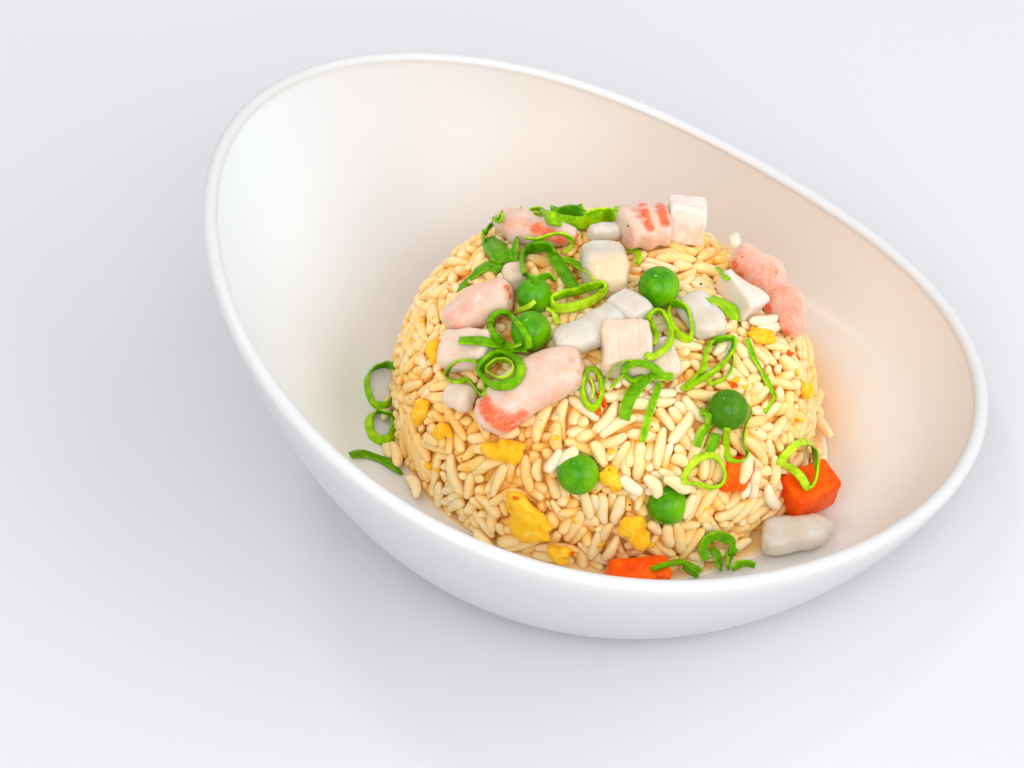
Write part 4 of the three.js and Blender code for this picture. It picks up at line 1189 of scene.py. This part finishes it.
# ---------------------------------------------------------------- spring onion
# Each: kind, path of places in the photograph's frame, width and height of the strand in mm, tone, lift
ONIONS = [
    # over the top left
    dict(p=[(484, 241), (483, 231), (486, 223), (492, 218), (498, 220), (501, 214)], w=0.75, h=0.8, tone=0.35, lift=1.2),
    dict(p=[(493, 219), (499, 222), (503, 215), (502, 211)], w=0.6, h=0.6, tone=0.5, lift=1.4),
    dict(p=[(487, 239), (495, 245), (501, 255), (503, 263)], w=4.2, h=0.7, tone=0.18, lift=1.2, arch=0.35),
    dict(p=[(457, 292), (466, 281), (476, 271), (488, 264), (501, 268)], w=3.4, h=0.7, tone=0.15, lift=0.8, arch=0.3, ends=(0.15, 0.8)),
    dict(p=[(514, 262), (514, 250), (517, 238)], w=1.9, h=0.8, tone=0.25, lift=1.0, arch=0.2),
    dict(p=[(521, 209), (530, 203), (541, 202), (548, 207), (552, 212)], w=0.65, h=1.0, tone=0.62, lift=1.6),
    dict(p=[(528, 209), (536, 208), (545, 211)], w=0.5, h=0.8, tone=0.85, lift=1.2),
    dict(p=[(552, 208), (558, 203), (568, 200), (578, 202), (583, 207), (577, 212), (566, 213), (556, 213)], w=0.8, h=1.8, tone=0.3, lift=2.2, closed=True),
    dict(p=[(541, 215), (553, 218), (567, 222), (580, 223), (596, 219), (616, 215)], w=1.0, h=2.2, tone=0.38, lift=1.8, arch=0.1),
    dict(p=[(581, 212), (588, 204), (602, 201), (615, 203), (617, 211), (610, 214), (598, 211)], w=0.75, h=1.6, tone=0.72, lift=2.4),
    dict(p=[(524, 274), (522, 262), (526, 252), (536, 247), (548, 247), (555, 254)], w=1.3, h=1.9, tone=0.3, lift=2.0),
    dict(p=[(551, 251), (558, 262), (566, 275), (576, 289)], w=2.5, h=0.9, tone=0.2, lift=2.2, arch=0.3),
    dict(p=[(526, 275), (536, 279), (548, 276), (556, 281)], w=1.0, h=1.1, tone=0.42, lift=1.6),
    dict(p=[(525, 238), (538, 239), (550, 235), (562, 234), (571, 239), (572, 246), (563, 253)], w=0.6, h=0.9, tone=0.68, lift=1.3),
    dict(p=[(559, 261), (568, 260), (578, 265), (584, 271)], w=1.6, h=0.7, tone=0.3, lift=1.4, ends=(0.5, 0.5)),
    dict(p=[(583, 270), (590, 275), (597, 283)], w=0.5, h=0.6, tone=0.6, lift=1.3),
    dict(p=[(552, 299), (563, 294), (578, 291), (592, 286), (603, 284), (604, 290), (596, 298), (584, 304), (568, 308), (555, 307)], w=1.15, h=1.5, tone=0.55, lift=1.8, closed=True),
    dict(p=[(510, 315), (519, 310), (528, 307), (535, 301)], w=1.0, h=0.8, tone=0.8, lift=0.8),
    dict(p=[(546, 308), (553, 311), (556, 318), (558, 324)], w=1.2, h=0.6, tone=0.78, lift=0.8, arch=0.2),
    dict(p=[(502, 342), (493, 334), (490, 323), (494, 315), (503, 312), (512, 317), (520, 326), (527, 337), (529, 348)], w=1.5, h=1.4, tone=0.3, lift=1.2),
    dict(p=[(506, 314), (515, 321), (523, 331), (527, 342)], w=0.5, h=0.7, tone=0.75, lift=2.0),
    dict(p=[(459, 340), (470, 340), (485, 341), (500, 345), (515, 348), (527, 348)], w=1.9, h=0.8, tone=0.34, lift=1.0, arch=0.2),
    dict(p=[(502, 342), (512, 346), (522, 343)], w=1.2, h=0.7, tone=0.5, lift=1.6),
    dict(p=[(480, 369), (487, 358), (500, 353), (513, 356), (521, 366), (518, 378), (507, 385), (493, 385), (484, 379)], w=1.5, h=1.7, tone=0.33, lift=1.3, closed=True),
    dict(p=[(487, 369), (494, 361), (505, 360), (514, 366), (512, 374), (504, 379), (494, 377)], w=0.8, h=1.2, tone=0.72, lift=1.0, closed=True),
    dict(p=[(480, 371), (478, 363), (467, 360), (456, 362), (448, 370), (448, 379), (457, 383), (467, 379), (474, 386), (483, 396), (486, 388), (485, 380)], w=0.65, h=1.0, tone=0.42, lift=0.8),
    # the wall at the left
    dict(p=[(394, 366), (384, 365), (373, 369), (367, 378), (368, 392), (374, 404), (384, 406), (392, 400)], w=0.75, h=1.6, tone=0.36, lift=0.1, on="bowl"),
    dict(p=[(369, 424), (371, 415), (380, 412), (391, 415), (394, 426), (391, 437), (381, 440), (372, 435)], w=0.75, h=1.5, tone=0.4, lift=0.1, closed=True, on="bowl"),
    dict(p=[(351, 455), (363, 453), (378, 457), (392, 464), (402, 474)], w=2.3, h=0.8, tone=0.16, lift=0.15, arch=0.25, ends=(0.7, 0.4), on="bowl"),
    # top right and the middle
    dict(p=[(628, 251), (635, 250), (639, 256), (637, 264)], w=1.2, h=0.7, tone=0.6, lift=0.7),
    dict(p=[(719, 268), (723, 273), (729, 279)], w=1.9, h=0.6, tone=0.45, lift=0.5, arch=0.2),
    dict(p=[(710, 300), (720, 301), (731, 309), (739, 321)], w=2.9, h=0.8, tone=0.36, lift=0.8, arch=0.35, vein=1, ends=(0.7, 0.75)),
    dict(p=[(673, 304), (684, 306), (690, 317), (692, 330), (689, 339), (679, 335), (671, 324), (668, 312)], w=0.85, h=1.4, tone=0.52, lift=1.1, closed=True),
    dict(p=[(653, 345), (656, 337), (652, 326), (648, 318), (655, 311), (664, 314), (670, 326), (671, 340), (662, 351), (652, 357), (646, 354)], w=1.1, h=1.3, tone=0.55, lift=1.5),
    dict(p=[(582, 384), (586, 372), (593, 368), (600, 376), (602, 392), (598, 404), (591, 408), (584, 400)], w=1.05, h=1.3, tone=0.5, lift=1.0, closed=True),
    dict(p=[(589, 376), (594, 388), (592, 400)], w=0.6, h=0.7, tone=0.85, lift=0.8),
    dict(p=[(603, 386), (612, 371), (624, 361), (632, 362), (627, 371), (610, 388)], w=0.42, h=0.7, tone=0.5, lift=1.3),
    dict(p=[(624, 374), (626, 367), (636, 363), (648, 365), (657, 370), (663, 376)], w=1.5, h=1.2, tone=0.3, lift=1.6, arch=0.2),
    dict(p=[(625, 374), (632, 381), (643, 376)], w=1.1, h=1.0, tone=0.18, lift=0.9),
    dict(p=[(649, 376), (638, 386), (629, 400), (625, 419)], w=2.3, h=0.8, tone=0.28, lift=1.3, arch=0.3),
    dict(p=[(650, 376), (660, 376), (673, 377)], w=1.5, h=0.8, tone=0.42, lift=1.5, arch=0.2),
    dict(p=[(660, 382), (655, 397), (648, 418), (642, 442)], w=1.35, h=0.7, tone=0.46, lift=1.0),
    dict(p=[(684, 388), (694, 378), (704, 367), (706, 352), (711, 343), (722, 339), (733, 339), (733, 350), (725, 362), (713, 372), (700, 380), (689, 387)], w=1.0, h=1.4, tone=0.42, lift=1.2, closed=True),
    dict(p=[(706, 379), (714, 383), (724, 379), (731, 370), (733, 357), (730, 350)], w=0.55, h=0.9, tone=0.55, lift=0.9),
    dict(p=[(747, 338), (752, 353), (761, 370), (769, 385), (775, 397)], w=1.3, h=0.7, tone=0.45, lift=0.8),
    dict(p=[(775, 397), (770, 405), (765, 413)], w=0.7, h=0.6, tone=0.5, lift=0.8),
    dict(p=[(701, 411), (709, 414), (709, 424), (702, 434), (697, 447)], w=1.9, h=1.0, tone=0.34, lift=0.9, arch=0.2),
    dict(p=[(717, 434), (714, 443), (709, 452)], w=2.2, h=0.9, tone=0.25, lift=0.8, arch=0.3),
    dict(p=[(727, 428), (726, 442), (727, 455), (733, 461), (742, 461), (747, 455), (744, 441), (746, 425), (752, 413), (748, 404)], w=0.6, h=1.2, tone=0.5, lift=0.8),
    dict(p=[(684, 482), (689, 468), (700, 458), (712, 455), (720, 461), (725, 473), (722, 484), (711, 488), (698, 484)], w=0.9, h=1.2, tone=0.62, lift=0.8, closed=True),
    dict(p=[(781, 463), (788, 452), (799, 443), (810, 443), (815, 453), (817, 470), (814, 483), (808, 488), (801, 477), (791, 468)], w=0.85, h=1.3, tone=0.5, lift=0.9, closed=True),
    # the front foot
    dict(p=[(706, 560), (703, 548), (709, 538), (720, 536), (731, 542), (733, 556), (731, 571)], w=1.9, h=1.1, tone=0.3, lift=1.2),
    dict(p=[(712, 548), (718, 557), (722, 572)], w=1.6, h=0.8, tone=0.3, lift=0.6),
    dict(p=[(734, 571), (741, 566), (749, 565), (757, 567)], w=1.5, h=0.9, tone=0.34, lift=0.6),
    dict(p=[(652, 569), (664, 565), (680, 562), (693, 566), (703, 573)], w=1.1, h=1.0, tone=0.26, lift=0.5),
    dict(p=[(684, 566), (692, 572), (699, 577)], w=1.6, h=0.8, tone=0.2, lift=0.4),
]


def curve_through(p, closed, step):
    """Smooth path through the points, with samples about step apart."""
    p = np.asarray(p, float)
    n = len(p)
    out = []
    for i in range(n if closed else n - 1):
        if closed:
            a, b, c, d = p[(i - 1) % n], p[i], p[(i + 1) % n], p[(i + 2) % n]
        else:
            a, b, c, d = p[max(i - 1, 0)], p[i], p[i + 1], p[min(i + 2, n - 1)]
        k = max(1, int(round(np.linalg.norm(c - b) / step)))
        for t in np.arange(k) / k:
            out.append(0.5 * (2 * b + (c - a) * t + (2 * a - 5 * b + 4 * c - d) * t * t + (3 * b - a - 3 * c + d) * t**3))
    if not closed:
        out.append(p[-1])
    return np.array(out)


def tree_of(parts):
    v, t, n = [], [], 0
    for pv, pt in parts:
        v.append(pv); t.append(pt + n); n += len(pv)
    return BVHTree.FromPolygons(np.concatenate(v).tolist(), np.concatenate(t).tolist())


def make_onions(food_tree, bowl_tree):
    body = Body()
    rng = np.random.default_rng(77)
    for k, s in enumerate(ONIONS):
        closed = s.get("closed", False)
        uv = curve_through(s["p"], closed, 2.2)
        pts, nrm = [], []
        origin = Vector(CAM_POS)
        for u, v in uv:
            d = ray(u, v)
            if s.get("on") == "bowl":
                loc, n_, *_ = bowl_tree.ray_cast(origin, Vector(d))
                loc2, *_ = food_tree.ray_cast(origin, Vector(d))
                if loc2 is not None and (loc2 - origin).length < (loc - origin).length:
                    loc, n_ = loc2, n_
            else:
                loc, n_, *_ = food_tree.ray_cast(origin, Vector(d))
            if loc is None:
                q = over_dome(u, v, s["lift"])
                _, nn = dome_depth(q)
                q = q - nn * s["lift"]
            else:
                q, nn = np.array(loc), np.array(n_)
                if s.get("on") != "bowl":
                    _, nd = dome_depth(q)
                    nn = unit(nd * 0.8 + nn * 0.2)
            pts.append(q); nrm.append(nn)
        pts, nrm = np.array(pts), np.array(nrm)
        n = len(pts)

        def blur(x, times):
            for _ in range(times):
                if closed:
                    x = x * 0.5 + 0.25 * (np.roll(x, 1, 0) + np.roll(x, -1, 0))
                else:
                    y = np.concatenate([x[:1], x, x[-1:]])
                    x = y[1:-1] * 0.5 + 0.25 * (y[:-2] + y[2:])
            return x

        # the strand spans small dips: its height over the camera's line is smoothed, its place in the frame is not
        dist = np.linalg.norm(pts - CAM_POS, axis=1)
        if not s.get("on"):
            low = np.minimum(dist, blur(dist[:, None], 10)[:, 0])
            dist = blur(low[:, None], 3)[:, 0]
        else:
            dist = blur(dist[:, None], 3)[:, 0]
        nrm = unit(blur(nrm, 12))
        dirs = unit(pts - CAM_POS)
        raised = CAM_POS + dirs * dist[:, None]
        up = nrm * (s["lift"] * 0.45 + s["h"] * 0.5)
        # raised along the line of sight by what the lift asks for
        cosn = np.clip(-(dirs * nrm).sum(1), 0.35, 1)
        raised = raised - dirs * ((s["lift"] * 0.45 + s["h"] * 0.5) / cosn)[:, None]
        c = raised
        tan = unit(np.roll(c, -1, 0) - np.roll(c, 1, 0)) if closed else unit(np.gradient(c, axis=0))
        side = unit(np.cross(nrm, tan))
        top = np.cross(tan, side)
        t = np.linspace(0, 1, n)
        scale = np.ones(n)
        if not closed:
            e0, e1 = s.get("ends", (0.85, 0.85))
            edge = 0.16
            scale = np.minimum(e0 + (1 - e0) * smoothstep(0, edge * 2, t), e1 + (1 - e1) * smoothstep(0, edge * 2, 1 - t))
        scale = scale * (1 + 0.10 * noise(c, 2.5, k))
        m = 16
        ph = (np.arange(m) + 0.5) / m * TAU
        cs, sn = np.cos(ph), np.sin(ph)
        q = 1 / (np.abs(cs) ** 5 + np.abs(sn) ** 5) ** (1 / 5)
        band_ = s["h"] >= 0.9 * s["w"]  # a slice of the tube that stands on its edge
        wide, high = (s["w"] * 0.72, s["h"] * 1.35) if band_ else (s["w"] * 1.1, s["h"] * 0.72)
        X, Y = cs * q * wide / 2, sn * q * high / 2
        arch = s.get("arch", 0.0)
        Y = Y - arch * (X / (wide / 2)) ** 2 * wide * 0.35
        turn_ = np.cross(uv - uv.mean(0), np.gradient(uv, axis=0)).sum()
        inward = 1.0 if turn_ > 0 else -1.0
        roll = 0.45 * noise(np.stack([t * 3 + k, t * 0, t * 0], 1), 1.0, k) + rng.normal(0, 0.2) + (0.30 * inward if band_ else 0)
        s2 = side * np.cos(roll)[:, None] + top * np.sin(roll)[:, None]
        t2 = -side * np.sin(roll)[:, None] + top * np.cos(roll)[:, None]
        loops = c[:, None] + s2[:, None] * (X[None, :, None] * scale[:, None, None]) + t2[:, None] * (Y[None, :, None] * scale[:, None, None])
        if closed:
            v, f = loft(loops, closed_path=True)
        else:
            v, f = loft(loops, loops[0].mean(0), loops[-1].mean(0))
        f = f if isinstance(f, list) else [f]
        tone = np.full(len(v), s["tone"]) + rng.normal(0, 0.04)
        if band_:
            face = np.where(np.abs(Y) > 0.40 * high, 0.04, np.where(X * inward > 0.1 * wide, 0.16, -0.24))
        else:
            face = np.where(np.abs(X) > 0.42 * wide, 0.22, np.where(Y > 0, -0.04, 0.12))
        inner = np.tile(face, n)
        tone[: len(inner)] += inner + 0.04
        vein = np.zeros(len(v))
        if s.get("arch"):
            line = np.tile(np.exp(-((X / (wide * 0.10)) ** 2)) * (Y > -1), n) * (0.5 if s.get("vein") else 0.18)
            vein[: len(line)] = line
        v = v + vertex_normals(v, f) * (0.04 * noise(v, 0.9, k))[:, None]
        body.add(v, f, tone=np.clip(tone, 0, 1), vein=vein)
    ob = body.object("spring_onion", onion())
    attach(ob, "root")
    return ob


# ---------------------------------------------------------------- crumbs, flecks and juice
def make_crumbs(food_tree, rice_tree):
    rng = np.random.default_rng(5)
    origin = Vector(CAM_POS)

    def chips(name, mat, spots, tone=None):
        b = Body()
        for i, (p, n_, size) in enumerate(spots):
            pts, q = cube_grid(5)
            v = unit(pts) * (1 + 0.75 * noise(pts, 1.1, i * 1.3)[:, None])
            v = v * np.array([size, size * rng.uniform(0.4, 0.8), size * rng.uniform(0.2, 0.35)])
            nrm = unit(np.asarray(n_))
            t1 = unit(np.cross(nrm, rng.normal(size=3)))
            v = v @ np.array([t1, np.cross(nrm, t1), nrm]) + p + nrm * size * 0.1
            b.add(v, [q])
        ob = b.object(name, mat)
        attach(ob, "root")
        return ob

    def on_food(u, v):
        loc, n_, *_ = food_tree.ray_cast(origin, Vector(ray(u, v)))
        return (np.array(loc), np.array(n_)) if loc is not None else None

    def scattered(n, lo, hi):
        out = []
        while len(out) < n:
            az, el = rng.uniform(0, 360), math.degrees(math.asin(rng.uniform(0.05, 0.97)))
            p, *_, nn = dome_frame(az, el, 12)
            loc, n_, *_ = food_tree.ray_cast(Vector(p), Vector(-nn))
            near_rice = rice_tree.find_nearest(loc)[3] if loc is not None else 9
            if near_rice < 0.01:
                out.append((np.array(loc), np.array(n_), rng.uniform(lo, hi)))
        return out

    seen = [(657, 408), (652, 427), (619, 449), (609, 470), (596, 490), (611, 497), (622, 488), (700, 493), (756, 484), (630, 505),
            (405, 474), (411, 489), (416, 399), (515, 300), (701, 284), (714, 283), (716, 289), (452, 548), (527, 555), (477, 444),
            (742, 257), (776, 272), (781, 350), (566, 448), (643, 215), (628, 226), (664, 232)]
    spots = [(*on_food(u, v), rng.uniform(0.16, 0.30)) for u, v in seen if on_food(u, v)]
    chips("seasoning_flecks", fleck(), spots + scattered(44, 0.10, 0.24))
    spots = [(*on_food(u, v), s) for u, v, s in [(429, 466, 1.1), (437, 470, 0.8), (735, 380, 1.0), (745, 387, 0.7), (612, 452, 0.7), (556, 438, 0.9), (650, 545, 1.0), (600, 545, 0.9), (468, 470, 0.9), (797, 372, 0.9), (800, 420, 0.8), (575, 520, 0.8)] if on_food(u, v)]
    chips("egg_crumbs", M["egg"], spots + scattered(22, 0.4, 0.9))
    spots = [(*on_food(u, v), s) for u, v, s in [(733, 385, 1.1), (790, 353, 1.2), (797, 357, 0.9), (602, 400, 1.3), (598, 410, 1.0), (572, 553, 0.7), (660, 575, 0.9), (516, 498, 0.8)] if on_food(u, v)]
    chips("carrot_crumbs", M["carrot"], spots + scattered(5, 0.4, 0.7))


def make_juice():
    """A thin film of cooking juice on the bottom of the bowl, from under the dome out to a wandering edge."""
    around, rings = 180, 12
    a = np.arange(around) / around * TAU
    away = np.clip(np.cos(a + 0.8), 0, 1) ** 3
    edge = dome_radius(a) + 0.2 + 4.2 * away + (0.4 + 0.8 * away) * noise(np.stack([np.cos(a), np.sin(a), 0 * a], 1), 0.45, 3)
    edge = np.minimum(edge, 51.0)
    loops, thin = [], []
    for j in range(rings + 1):
        t = j / rings
        r = 38 + (edge - 38) * t
        z = FLOOR + 0.02 + 0.42 * (1 - t**6) + 0 * a
        loops.append(np.stack([DX + r * np.cos(a), DY + r * np.sin(a), z], 1))
        thin.append(np.full(around, smoothstep(0.82, 1.0, t)))
    v, f = loft(loops, (DX, DY, FLOOR + 0.44), (DX, DY, FLOOR + 0.01))
    b = Body()
    b.add(v, f, thin=np.concatenate(thin + [[0, 1]]))
    ob = b.object("cooking_juice", sauce())
    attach(ob, "root")
    return ob


# ---------------------------------------------------------------- making it all
bowl = bowl_body()
bowl_ob = bowl.object("bowl_glazed", porcelain())
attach(bowl_ob, "root")
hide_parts("bowl")
bowl_tree = tree_of([(bowl.verts(), tri_faces(bowl.f))])

make_toppings()
gv, gt, gmid, gup = make_rice()
make_core()
food_tree = tree_of(carriers + [(gv, gt)])
make_onions(food_tree, bowl_tree)
make_crumbs(food_tree, tree_of([(gv, gt)]))
make_juice()

# ---------------------------------------------------------------- floor and light
fl = bpy.data.meshes.new("table")
S = 3.0
fl.from_pydata([(-S, -S, 0), (S, -S, 0), (S, S, 0), (-S, S, 0)], [], [(0, 1, 2, 3)])
fl.materials.append(table_top())
floor = bpy.data.objects.new("table", fl)
floor.location.z = -0.0002
bpy.context.scene.collection.objects.link(floor)


def lamp(name, at, to, size, power, colour):
    d = bpy.data.lights.new(name, "AREA")
    d.shape = "DISK"
    d.size = size
    d.energy = power
    d.color = colour
    o = bpy.data.objects.new(name, d)
    o.location = at
    o.rotation_euler = (Vector(to) - Vector(at)).to_track_quat("-Z", "Y").to_euler()
    bpy.context.scene.collection.objects.link(o)
    return o


lamp("key", (0.62, 0.05, 0.85), (0, 0, 0.02), 0.9, 1.7, (1.0, 0.99, 0.975))
lamp("side", (1.12, -0.992, 0.832), (0.03, -0.05, 0.01), 1.28, 9.5, (1.0, 0.99, 0.975))
lamp("fill", (-0.29, -1.38, 1.21), (0, 0, 0.02), 1.6, 17.4, (0.985, 0.99, 1.0))
lamp("glint", (-0.35, 0.35, 1.0), (0, 0, 0.04), 0.18, 1.1, (1.0, 1.0, 1.0))

world = bpy.data.worlds.new("studio")
bpy.context.scene.world = world
world.use_nodes = True
bg = world.node_tree.nodes["Background"]
bg.inputs["Color"].default_value = (0.98, 0.985, 1.0, 1)
bg.inputs["Strength"].default_value = 0.74

sc = bpy.context.scene
sc.view_settings.view_transform = "Standard"
sc.view_settings.look = "None"
sc.view_settings.exposure = 0.0
sc.view_settings.gamma = 1.0
sc.cycles.max_bounces = 8
sc.cycles.diffuse_bounces = 6
sc.cycles.glossy_bounces = 3
